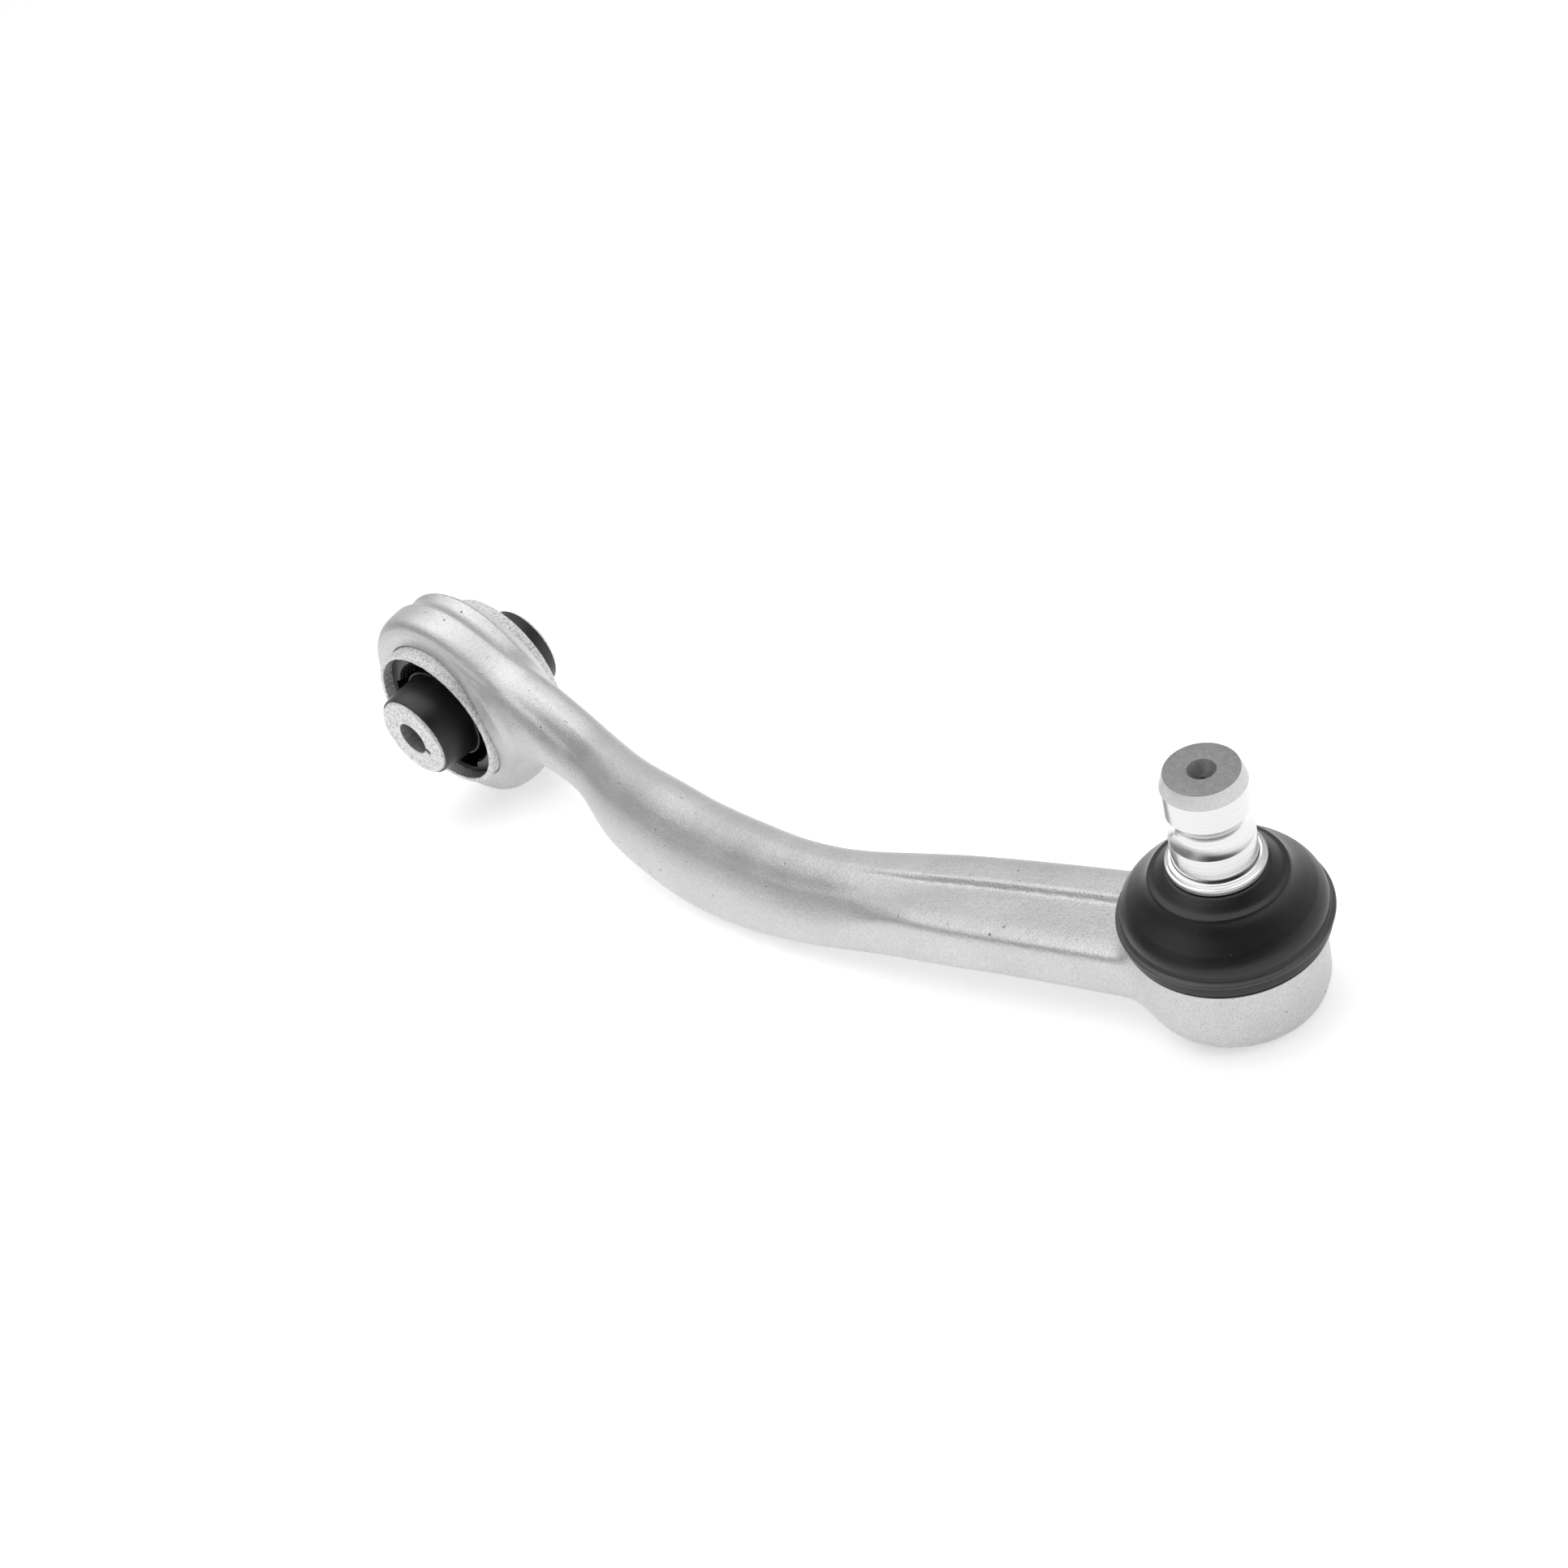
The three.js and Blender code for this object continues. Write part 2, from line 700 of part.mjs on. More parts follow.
// The stepped metal ring that seals the boot's bead against the shank.
function makeStudCollar() {
  const inner = shankRadius + seatGap;
  const bottom = bootTop + seatGap;
  const upper = collarRadius - collarStep;
  return piece(
    "stud_collar",
    uprightLathe([
      [inner, bottom],
      [collarRadius, bottom],
      [collarRadius, bottom + collarStepHeight - collarEdge],
      [upper, bottom + collarStepHeight],
      [upper, bottom + collarHeight - collarEdge],
      [upper - collarEdge, bottom + collarHeight],
      [inner, bottom + collarHeight],
    ]),
    machinedSteel
  );
}

// ---- The whole arm --------------------------------------------------------------------------------

const ballJoint = new THREE.Group();
ballJoint.applyMatrix4(housingPose);
ballJoint.add(
  makeBallStud(),
  makeBallSeat(),
  makeHousingCap(),
  makeDustBoot(),
  makeLowerClamp(),
  makeBeadRing(),
  makeStudCollar()
);

// The arm lies on its eye and on the lowest edge of the housing's foot.
function restPitch() {
  const tilt = radians(housingTilt);
  const footRise = ballDrop + housingFoot * Math.cos(tilt) - housingFootRadius * Math.sin(tilt);
  const footReach = ballReach + housingFoot * Math.sin(tilt) + housingFootRadius * Math.cos(tilt);
  const distance = Math.hypot(footReach, footRise);
  return Math.atan2(footRise, footReach) + Math.asin(eyeRadius / distance);
}

const arm = new THREE.Group();
arm.rotation.y = restPitch();
arm.add(
  makeForging(),
  makeOuterSleeve(),
  makeOuterRubber(),
  makeCoreRubber(),
  makeInnerSleeve(),
  ballJoint
);

// The origin is the middle of the arm's box, on the surface that it lies on.
const group = new THREE.Group();
group.add(arm);
const box = new THREE.Box3().setFromObject(group, true);
const middle = box.getCenter(new THREE.Vector3());
arm.position.set(-middle.x, -middle.y, -box.min.z);

export default group;
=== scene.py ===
"""A forged control arm with a rubber bush and a ball joint, on a plain pale floor.

Sizes below are in millimetres and turned into metres where a mesh is made. +Z is up.
An outline is a loop of (radius, height) corners, or (radius, height, fillet) for a rounded one.
"""

import json
import math

import bpy
import numpy as np
from mathutils import Matrix, Vector, noise


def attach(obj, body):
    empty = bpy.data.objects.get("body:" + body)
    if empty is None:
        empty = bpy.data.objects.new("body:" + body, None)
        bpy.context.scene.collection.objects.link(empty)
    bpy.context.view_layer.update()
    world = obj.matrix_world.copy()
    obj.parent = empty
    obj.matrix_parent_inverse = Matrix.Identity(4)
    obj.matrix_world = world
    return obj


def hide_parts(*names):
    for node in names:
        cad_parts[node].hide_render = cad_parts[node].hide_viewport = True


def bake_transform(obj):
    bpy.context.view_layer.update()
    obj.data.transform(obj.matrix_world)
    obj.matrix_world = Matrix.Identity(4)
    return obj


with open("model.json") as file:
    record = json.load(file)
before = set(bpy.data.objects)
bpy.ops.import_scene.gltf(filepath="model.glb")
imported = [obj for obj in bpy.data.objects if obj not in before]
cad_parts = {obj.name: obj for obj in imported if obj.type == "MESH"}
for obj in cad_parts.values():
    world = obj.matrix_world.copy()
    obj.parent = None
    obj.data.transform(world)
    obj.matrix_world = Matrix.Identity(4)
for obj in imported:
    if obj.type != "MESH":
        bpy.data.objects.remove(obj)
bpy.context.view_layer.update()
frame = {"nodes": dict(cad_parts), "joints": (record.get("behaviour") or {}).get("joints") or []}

MM = 0.001

# ---- Places, read from the frame ------------------------------------------------------------------

joints = {joint["name"]: joint for joint in frame["joints"]}
bush_centre = Vector(joints["bush_twist"]["pos_m"])
ball_centre = Vector(joints["stud_spin"]["pos_m"])
BALL_DROP = -2.9  # the ball centre's height above the arm's own level through the bush centre


def axes_matrix(x_axis, y_axis, z_axis, origin):
    """A placing matrix whose columns are three axes and an origin."""
    turn = Matrix((x_axis, y_axis, z_axis)).transposed().to_4x4()
    return Matrix.Translation(origin) @ turn


def joint_axis(name):
    return Vector(joints[name]["axis"]).normalized()


stud_axis = joint_axis("stud_spin")
long_tilt_axis = joint_axis("stud_tilt_long")
# The housing's own frame: Z along the stud, Y along the long tilt's axis, from the ball's centre.
housing_side = long_tilt_axis.cross(stud_axis)
housing_frame = axes_matrix(
    housing_side.normalized(),
    stud_axis.cross(housing_side).normalized(),
    stud_axis,
    ball_centre,
)

# The arm's own frame: X from the bush towards the ball joint, Y along the bush.
arm_line = (ball_centre - bush_centre) / MM
ball_offset = arm_line.y
ball_reach = math.sqrt(arm_line.x**2 + arm_line.z**2 - BALL_DROP**2)
arm_pitch = math.atan2(BALL_DROP, ball_reach) - math.atan2(arm_line.z, arm_line.x)
arm_frame = Matrix.Translation(bush_centre) @ Matrix.Rotation(arm_pitch, 4, "Y")
# A bush piece is turned about its own Z, which this lays along the bush, towards +Y.
bush_lathe_frame = arm_frame @ Matrix.Rotation(math.radians(-90), 4, "X")

# ---- Meshes ---------------------------------------------------------------------------------------

SHARP_ANGLE = math.radians(34)
TURN_STEPS = 160
AXIS_RADIUS = 1e-6  # a point of an outline nearer than this lies on the axis
FILLET_SHARE = 0.48  # the most of an edge that one fillet takes
WELD_GAP = 1e-6  # in metres


def new_object(name, mesh):
    piece = bpy.data.objects.new(name, mesh)
    bpy.context.scene.collection.objects.link(piece)
    return piece


def shade(piece):
    piece.data.shade_smooth()
    piece.data.set_sharp_from_angle(angle=SHARP_ANGLE)


def add_mesh(name, vertices, faces, matrix):
    """An object from points in millimetres, placed by a matrix in metres."""
    mesh = bpy.data.meshes.new(name)
    mesh.from_pydata([Vector(v) * MM for v in vertices], [], faces)
    mesh.transform(matrix)
    mesh.update()
    piece = new_object(name, mesh)
    shade(piece)
    return piece


def settle(piece):
    """Applies a piece's modifiers."""
    graph = bpy.context.evaluated_depsgraph_get()
    mesh = bpy.data.meshes.new_from_object(piece.evaluated_get(graph))
    piece.modifiers.clear()
    piece.data = mesh


def cut(piece, cutter):
    """Takes the cutter's solid out of the piece."""
    modifier = piece.modifiers.new("cut", "BOOLEAN")
    modifier.operation = "DIFFERENCE"
    modifier.solver = "EXACT"
    modifier.object = cutter
    bpy.context.view_layer.update()
    settle(piece)
    bpy.data.objects.remove(cutter)
    shade(piece)


def rounded(outline, steps=5):
    """Rounds a loop's corners. A corner is (radius, height), or (radius, height, fillet)."""
    points = []
    for i, corner in enumerate(outline):
        here = Vector(corner[:2])
        before = Vector(outline[i - 1][:2]) - here
        after = Vector(outline[(i + 1) % len(outline)][:2]) - here
        if len(corner) < 3:
            points.append(tuple(here))
            continue
        half_angle = before.angle(after) / 2
        most = min(before.length, after.length) * FILLET_SHARE
        back = min(corner[2] / math.tan(half_angle), most)
        start = here + before.normalized() * back
        end = here + after.normalized() * back
        for k in range(steps + 1):
            t = k / steps
            points.append(tuple(start * (1 - t) ** 2 + here * 2 * t * (1 - t) + end * t * t))
    return points


def smooth_line(points, steps=6):
    """A smooth curve (Catmull-Rom) through the points, with the ends kept."""
    line = []
    last = len(points) - 1
    for i in range(last):
        p = [Vector(points[min(max(k, 0), last)]) for k in (i - 1, i, i + 1, i + 2)]
        for k in range(steps):
            u = k / steps
            line.append(
                tuple(
                    p[1]
                    + 0.5 * u * (p[2] - p[0])
                    + u * u * (p[0] - 2.5 * p[1] + 2 * p[2] - 0.5 * p[3])
                    + u**3 * 0.5 * (3 * p[1] - p[0] - 3 * p[2] + p[3])
                )
            )
    return [*line, tuple(points[-1])]


def lathe(name, outline, matrix, steps=TURN_STEPS, wobble=None):
    """A closed solid turned about local Z from a loop of (radius, height) points.

    The loop may start and end on the axis. wobble(radius, angle, height) moves a point's radius
    and height a little.
    """
    vertices = []
    rows = []
    for radius, height in outline:
        if radius < AXIS_RADIUS:
            rows.append([len(vertices)] * steps)
            vertices.append((0, 0, height))
            continue
        rows.append(list(range(len(vertices), len(vertices) + steps)))
        for k in range(steps):
            angle = 2 * math.pi * k / steps
            r, h = wobble(radius, angle, height) if wobble else (radius, height)
            vertices.append((r * math.cos(angle), r * math.sin(angle), h))
    faces = []
    on_axis = max(outline[0][0], outline[-1][0]) < AXIS_RADIUS
    pairs = list(zip(rows, rows[1:])) if on_axis else list(zip(rows, rows[1:] + rows[:1]))
    for low, high in pairs:
        for k in range(steps):
            n = (k + 1) % steps
            face = list(dict.fromkeys((low[k], low[n], high[n], high[k])))
            if len(face) > 2:
                faces.append(face)
    return add_mesh(name, vertices, faces, matrix)


def hand_over(piece, body, slot, material, *replaced):
    """Gives a finished piece its material and body, and hides the CAD nodes that it stands for. Its
    slot is not used.

    A piece given None for its body is attached to none.
    """
    piece.data.materials.clear()
    piece.data.materials.append(material)
    if body:
        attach(piece, body)
    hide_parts(*replaced)


# ---- The forging: a field that is negative inside, then skinned -----------------------------------

CELL = 0.5
FIELD_LOW = Vector((-33, -55, -34))  # the grid's two corners, in the arm's frame
FIELD_HIGH = Vector((314, 16, 34))
RELAX_ROUNDS = 4  # light smoothing of the finished skin
FAR_INSIDE = -99.0

EYE_BORE = 23
EYE_FACE = 10.1  # half the eye's width
EYE_EDGE = 0.8  # rounding where the rim meets a face
EYE_SLOPE = 0.9  # evens out the field over the rim's slopes
# The eye's outline: distance along the bush, then radius
EYE_RIM = [
    (-10.1, 26.4),
    (-9.7, 27.9),
    (-8.9, 29.3),
    (-7.6, 30.3),
    (-6, 30.8),
    (-4, 31.05),
    (-2.4, 31.15),
    (-1, 31.2),
    (-0.3, 30.9),
    (0.8, 30.2),
    (2.4, 29.8),
    (4, 30.1),
    (5.2, 30.6),
    (5.9, 30.4),
    (6.8, 29.5),
    (8.4, 27.6),
    (10.1, 25.6),
]
HOUSING_FOOT = -13.4
HOUSING_TOP = 7.3
HOUSING_EDGE = 0.5  # rounding of its end edges
# The housing's outline: height, then radius
HOUSING_WALL = [(-13.4, 17.4), (-12.8, 17.6), (-10.4, 18.3), (2.2, 18.3), (2.5, 16.8), (7.3, 16.8)]

# Arm sections: share of the way to the ball, offsets from the straight line between the two
# centres (side, rise), half sizes (wide, tall), and squareness
ARM_SECTIONS = [
    (0.02, 0.1, -0.1, 9.4, 21, 2.6),
    (0.08, 0.1, -0.4, 9.2, 16.6, 2.6),
    (0.14, -1.4, -0.8, 8.8, 12.4, 2.6),
    (0.2, -3.6, -2.6, 8.2, 9.2, 2.6),
    (0.25, -6.2, -5, 8, 8.6, 2.6),
    (0.32, -11.9, -8, 9.5, 11, 2.9),
    (0.39, -15, -9.8, 10.1, 12.5, 3),
    (0.45, -16.6, -11.4, 10.2, 12.7, 3),
    (0.52, -17.8, -11.1, 9.9, 12.3, 3),
    (0.59, -18.1, -9.8, 9.5, 10.9, 3),
    (0.66, -16.4, -8.3, 9.8, 9.7, 3.2),
    (0.76, -11.6, -6.4, 12.3, 8.1, 3.6),
    (0.84, -7.7, -5.3, 12.9, 7.6, 3.8),
    (0.91, -4.2, -4.9, 13.1, 7.5, 4),
    (0.98, -1.0, -4.7, 13, 7.4, 4),
]
EYE_FILLET = 9
HOUSING_FILLET = 4.5
LINE_STEPS = 70  # fine steps between two sections
LINE_SAMPLES = 900  # samples kept along the whole arm
SEARCH_PARTS = 40  # the search for the nearest sample goes in parts, to save memory
LEAST_REACH = 1e-4  # keeps the field finite on a section's middle

# The top of the arm: a ridge along its back, a bevel in front of it that turns into a shelf
RIDGE_BAND = 7.5  # width of the flat behind the ridge, mid-arm
RIB_WIDTH = 10.3  # and by the housing
BEVEL_DROP = 3.5
BEVEL_START = (0.03, 0.24)  # shares of the way, from where it begins to where it is full
CREASE_LEVEL = -0.45  # where the bevel ends, as a share of the arm's half width
CREASE_DIP = 0.5  # depth of the soft valley along the crease
CREASE_WIDTH = 1.1  # and how far it spreads to each side
BELLY_FALL = (0.6, 0.08)  # how the belly's top falls away in front of it: slope, and its growth
BELLY_SAG = 0.55  # the belly stands out furthest this share of its half height below its middle
BELLY_BOXY = (1.7, 2.6)  # squareness of the belly's upper and lower front quarters
TOP_EDGE = (1.8, 2.4)  # rounding of the top's edges by the housing, and how much is added mid-arm
SHELF_DROP = 1.8
SHELF_START = (0.62, 0.75)
SHELF_STEP = 1.3  # width of the slope from the rib down to the shelf
LIP_DIP = 0.2  # the shelf's shallow valley just inside its front edge
LIP_PLACE = 0.82  # where it lies, as a share of the arm's half width
LIP_WIDTH = 1.6


def smooth_max(a, b, radius):
    """The larger of two fields, with the edge between them rounded."""
    h = np.clip(radius - np.abs(a - b), 0, None)
    return np.maximum(a, b) + h * h / (4 * radius)


def smooth_min(a, b, radius):
    """The smaller of two fields, with a fillet where they meet."""
    return -smooth_max(-a, -b, radius)


def ramp(start, end, value):
    t = np.clip((value - start) / (end - start), 0, 1)
    return t * t * (3 - 2 * t)


def arm_line_samples():
    """The arm's sections as fine smooth columns: along, side, rise, wide, tall and boxy."""
    places = smooth_line([row[:3] for row in ARM_SECTIONS], LINE_STEPS)
    sizes = smooth_line([row[3:] for row in ARM_SECTIONS], LINE_STEPS)
    table = np.hstack([np.array(places), np.array(sizes)])
    place = np.linspace(0, len(table) - 1, LINE_SAMPLES)
    return np.stack([np.interp(place, np.arange(len(table)), c) for c in table.T], axis=1)


def arm_field(x, y, z):
    """The arm between the eye and the housing. x and y are 2D, and z is the third direction."""
    along, side, rise, wide, tall, boxy = arm_line_samples().T
    middle_x = along * ball_reach
    middle_y = along * ball_offset + side
    middle_z = along * BALL_DROP + rise
    run = np.stack([np.gradient(middle_x), np.gradient(middle_y)])
    speed = np.hypot(*run)
    run /= speed
    # The section that each column of the grid lies in
    flat_x, flat_y = x.ravel(), y.ravel()
    nearest = np.empty(len(flat_x), int)
    for part in np.array_split(np.arange(len(flat_x)), SEARCH_PARTS):
        gap = (flat_x[part, None] - middle_x) ** 2 + (flat_y[part, None] - middle_y) ** 2
        nearest[part] = gap.argmin(axis=1)
    off_x = flat_x - middle_x[nearest]
    off_y = flat_y - middle_y[nearest]
    ahead = off_x * run[0][nearest] + off_y * run[1][nearest]
    last = len(along) - 1
    place = np.clip(nearest + ahead / speed[nearest], 0, last)
    past_end = np.where((nearest == 0) | (nearest == last), np.abs(ahead), FAR_INSIDE)
    past_end = np.where((place > 0) & (place < last), FAR_INSIDE, past_end)

    def at(column):
        values = np.interp(place, np.arange(len(along)), column)
        return values.reshape(x.shape)[:, :, None]

    level = (off_y * run[0][nearest] - off_x * run[1][nearest]).reshape(x.shape)[:, :, None]
    share, half_wide, half_tall, power = at(along), at(wide), at(tall), at(boxy)
    height = z - at(middle_z)
    belly = ramp(*BEVEL_START, share) * (1 - ramp(*SHELF_START, share))
    sag = np.where(level < 0, BELLY_SAG * belly * half_tall, 0)
    over = height + sag
    tall_here = half_tall + np.where(over > 0, sag, -sag)
    front_power = np.where(over > 0, *BELLY_BOXY)
    power = np.where(level < 0, power + belly * (front_power - power), power)
    reach = (np.abs(level) / half_wide) ** power + (np.abs(over) / tall_here) ** power
    reach = np.maximum(reach, LEAST_REACH) ** (1 / power)
    radial = np.hypot(level, over)
    field = radial * (1 - 1 / reach)
    # Close to the middle that says little, so the depth is set there directly.
    field = np.where(radial < 1, -np.minimum(half_wide, half_tall) + radial, field)
    top = height - arm_ceiling(level, share, half_wide, half_tall)
    field = smooth_max(field, top, TOP_EDGE[0] + TOP_EDGE[1] * belly)
    return np.maximum(field, past_end.reshape(x.shape)[:, :, None])


def arm_ceiling(level, share, half_wide, half_tall):
    """The highest that the arm's top reaches at a level across it."""
    shelf = ramp(*SHELF_START, share)
    bevel = ramp(*BEVEL_START, share) * (1 - shelf)
    ridge = half_wide - RIDGE_BAND * (1 - shelf) - RIB_WIDTH * shelf
    crease = CREASE_LEVEL * half_wide
    slope = np.clip((ridge - level) / (ridge - crease), 0, 1)
    past = np.clip(crease - level, 0, None)
    valley = CREASE_DIP * np.exp(-(((level - crease) / CREASE_WIDTH) ** 2))
    bevel_drop = BEVEL_DROP * slope + valley + BELLY_FALL[0] * past + BELLY_FALL[1] * past**2
    step = 1 - ramp(ridge - SHELF_STEP, ridge, level)
    front = half_wide * LIP_PLACE
    dip = LIP_DIP * np.exp(-(((level + front) / LIP_WIDTH) ** 2))
    return half_tall - bevel * bevel_drop - shelf * (SHELF_DROP * step + dip)


def eye_field(x, y, z):
    places, radii = np.array(smooth_line(EYE_RIM)).T
    rim = np.interp(y, places, radii)
    return smooth_max((np.hypot(x, z) - rim) * EYE_SLOPE, np.abs(y) - EYE_FACE, EYE_EDGE)


def housing_field(x, y, z):
    """The housing, in its own leaning frame."""
    to_housing = housing_frame.inverted() @ arm_frame
    turn = np.array(to_housing.to_3x3())
    move = np.array(to_housing.translation) / MM
    hx, hy, hz = (turn[i, 0] * x + turn[i, 1] * y + turn[i, 2] * z + move[i] for i in range(3))
    heights, radii = np.array(HOUSING_WALL).T
    wall = np.hypot(hx, hy) - np.interp(hz, heights, radii)
    ends = np.maximum(hz - HOUSING_TOP, HOUSING_FOOT - hz)
    return smooth_max(wall, ends, HOUSING_EDGE)


def skin(field, low, cell):
    """Vertices and quads on a field's zero surface: one vertex in each cell that it crosses."""
    inside = field < 0
    size = np.array(field.shape) - 1
    corners = [(i, j, k) for i in (0, 1) for j in (0, 1) for k in (0, 1)]

    def shifted(grid, corner):
        i, j, k = corner
        return grid[i : size[0] + i, j : size[1] + j, k : size[2] + k]

    count = sum(shifted(inside, corner).astype(np.int8) for corner in corners)
    cells = np.argwhere((count > 0) & (count < 8))
    number = np.full(size, -1)
    number[tuple(cells.T)] = np.arange(len(cells))
    values = {c: field[tuple((cells + c).T)] for c in corners}
    total = np.zeros((len(cells), 3))
    hits = np.zeros(len(cells))
    for a in corners:
        for axis in range(3):
            if a[axis]:
                continue
            b = tuple(1 if i == axis else a[i] for i in range(3))
            crossed = (values[a] < 0) != (values[b] < 0)
            share = values[a] / np.where(crossed, values[a] - values[b], 1)
            point = np.tile(np.array(a, float), (len(cells), 1))
            point[:, axis] += share
            total += point * crossed[:, None]
            hits += crossed
    vertices = np.array(low) + (cells + total / hits[:, None]) * cell
    faces = []
    for axis in range(3):
        one, two = (axis + 1) % 3, (axis + 2) % 3
        span = [slice(None)] * 3
        span[axis] = slice(None, -1)
        first = inside[tuple(span)]
        span[axis] = slice(1, None)
        edges = np.argwhere(first != inside[tuple(span)])
        edges = edges[(edges[:, one] > 0) & (edges[:, two] > 0)]
        edges = edges[(edges[:, one] < size[one]) & (edges[:, two] < size[two])]
        starts_inside = first[tuple(edges.T)]
        loop = []
        for back_one, back_two in ((1, 1), (0, 1), (0, 0), (1, 0)):
            around = edges.copy()
            around[:, one] -= back_one
            around[:, two] -= back_two
            loop.append(number[tuple(around.T)])
        quads = np.stack(loop, axis=1)
        quads[~starts_inside] = quads[~starts_inside][:, ::-1]
        faces.append(quads)
    return vertices, np.vstack(faces)


def forging_blank():
    """The forging before it is machined: eye, arm and housing, filleted into each other."""
    axes = [np.arange(low, high, CELL) for low, high in zip(FIELD_LOW, FIELD_HIGH)]
    x, y, z = np.meshgrid(*axes, indexing="ij", sparse=True)
    flat_x, flat_y = np.meshgrid(axes[0], axes[1], indexing="ij")
    arm = arm_field(flat_x, flat_y, z)
    field = smooth_min(eye_field(x, y, z), arm, EYE_FILLET)
    field = smooth_min(field, housing_field(x, y, z), HOUSING_FILLET)
    vertices, faces = skin(field, FIELD_LOW, CELL)
    piece = add_mesh("forging", vertices.tolist(), faces.tolist(), arm_frame)
    relax = piece.modifiers.new("relax", "SMOOTH")
    relax.iterations = RELAX_ROUNDS
    settle(piece)
    return piece


def make_forging(material):
    piece = forging_blank()
    past_eye = 20
    bore = [(0, -past_eye), (EYE_BORE, -past_eye), (EYE_BORE, past_eye), (0, past_eye)]
    cut(piece, lathe("bore", bore, bush_lathe_frame))
    # Upwards from below the foot: the way in, the cap's groove, the bearing's room and the mouth
    room = [
        (0, -16),
        (14, -16),
        (14, -12.9),
        (14.3, -12.9),
        (14.3, -11.05),
        (13.7, -11.05),
        (13.7, 3),
        (10.5, 6),
        (11.4, HOUSING_TOP),
        (11.4, 10),
        (0, 10),
    ]
    cut(piece, lathe("room", room, housing_frame))
    hand_over(piece, "arm", "forged_aluminium", material, "arm_forging")


# ---- Bush -----------------------------------------------------------------------------------------

# Angles here are in degrees, and go from +X towards +Z.
OUTER_SLEEVE_RADIUS = 22.7
OUTER_SLEEVE_BORE = 21.1
OUTER_SLEEVE_HALF = 14.5
INNER_SLEEVE_RADIUS = 12.2
INNER_SLEEVE_HALF = 23.75
BOLT_BORE = 5.1
CORE_HALF = 22.85
CORE_RADIUS = 13.5
RUBBER_HALF = 11.4
VOID_DIRECTIONS = (123, -57)
VOID_HALF_ANGLE = 52
BUMPER_HALF_ANGLE = 24
BUMPER_HEIGHT = 1.9
NUB_ROWS = 6
NUB_COLUMNS = 9
NUB_START = -10.2  # the first row's place along the bush
NUB_STEP = 1.5  # from row to row
NUB_TURN = 4.6  # from column to column
HUB_RADIUS = 14.5
LINER_RADIUS = 19.4
SEAM_ANGLE = -40
SEAM_WIDTH = 1.8
SEAM_DEPTH = 2.4


def roughness_at(angle, height, detail, seed):
    """A smooth random number from -1 to 1 at a place round a turned part."""
    spot = Vector((math.cos(angle) * detail, math.sin(angle) * detail, height * 0.4 + seed))
    return noise.noise(spot)


def make_outer_sleeve(material):
    """The outer sleeve, with ragged inner edges and a toothed ridge by its far end."""
    steps = 420
    bore, outside, end = OUTER_SLEEVE_BORE, OUTER_SLEEVE_RADIUS, OUTER_SLEEVE_HALF
    ridge_start = 11.3
    ragged_depth = 0.16
    tooth_height = 0.34
    teeth = 52  # half of their number round the ridge
    outline = [
        (bore, -end + 0.5),
        (bore + 0.12, -end + 0.05),
        (bore + 0.45, -end),
        (outside - 0.5, -end),
        (outside - 0.12, -end + 0.14),
        (outside, -end + 0.5),
        (outside, ridge_start),
        (outside - 0.25, ridge_start + 0.2),
        (outside - 0.25, ridge_start + 1.1),
        (outside, ridge_start + 1.3),
        (outside, end - 0.5),
        (outside - 0.12, end - 0.14),
        (outside - 0.5, end),
        (bore + 0.45, end),
        (bore + 0.12, end - 0.05),
        (bore, end - 0.5),
    ]

    def wobble(radius, angle, height):
        if radius < bore + 0.5 and abs(height) > end - 1:
            ragged = roughness_at(angle, height, 26, 3.1) + roughness_at(angle, 0, 60, 7.7)
            return radius + ragged_depth * ragged, height
        if ridge_start < height < ridge_start + 1.2:
            return radius + tooth_height * abs(math.sin(angle * teeth)), height
        return radius, height

    piece = lathe("sleeve_outer", outline, bush_lathe_frame, steps, wobble)
    hand_over(piece, "arm", "sanded_metal", material, "bush_outer_sleeve")


def make_inner_sleeve(material, bore_material):
    bore, outside, end = BOLT_BORE, INNER_SLEEVE_RADIUS, INNER_SLEEVE_HALF
    outline = rounded(
        [
            (bore, -end, 0.3),
            (outside - 0.25, -end, 0.35),
            (outside, -end + 0.9, 0.3),
            (outside, end - 0.9, 0.3),
            (outside - 0.25, end, 0.35),
            (bore, end, 0.3),
        ]
    )
    piece = lathe("sleeve_inner", outline, bush_lathe_frame)
    cut(piece, seam_cutter())
    hand_over(piece, "bush_core", "sanded_metal", material, "bush_inner_sleeve")
    piece.data.materials.append(bore_material)
    to_bush = bush_lathe_frame.inverted()
    # The walls of the bore and of its seam are darker than the end faces.
    for face in piece.data.polygons:
        place = (to_bush @ face.center) / MM
        deep = abs(place.z) < INNER_SLEEVE_HALF - 0.12
        if deep and place.xy.length < BOLT_BORE + SEAM_DEPTH + 1:
            face.material_index = 1


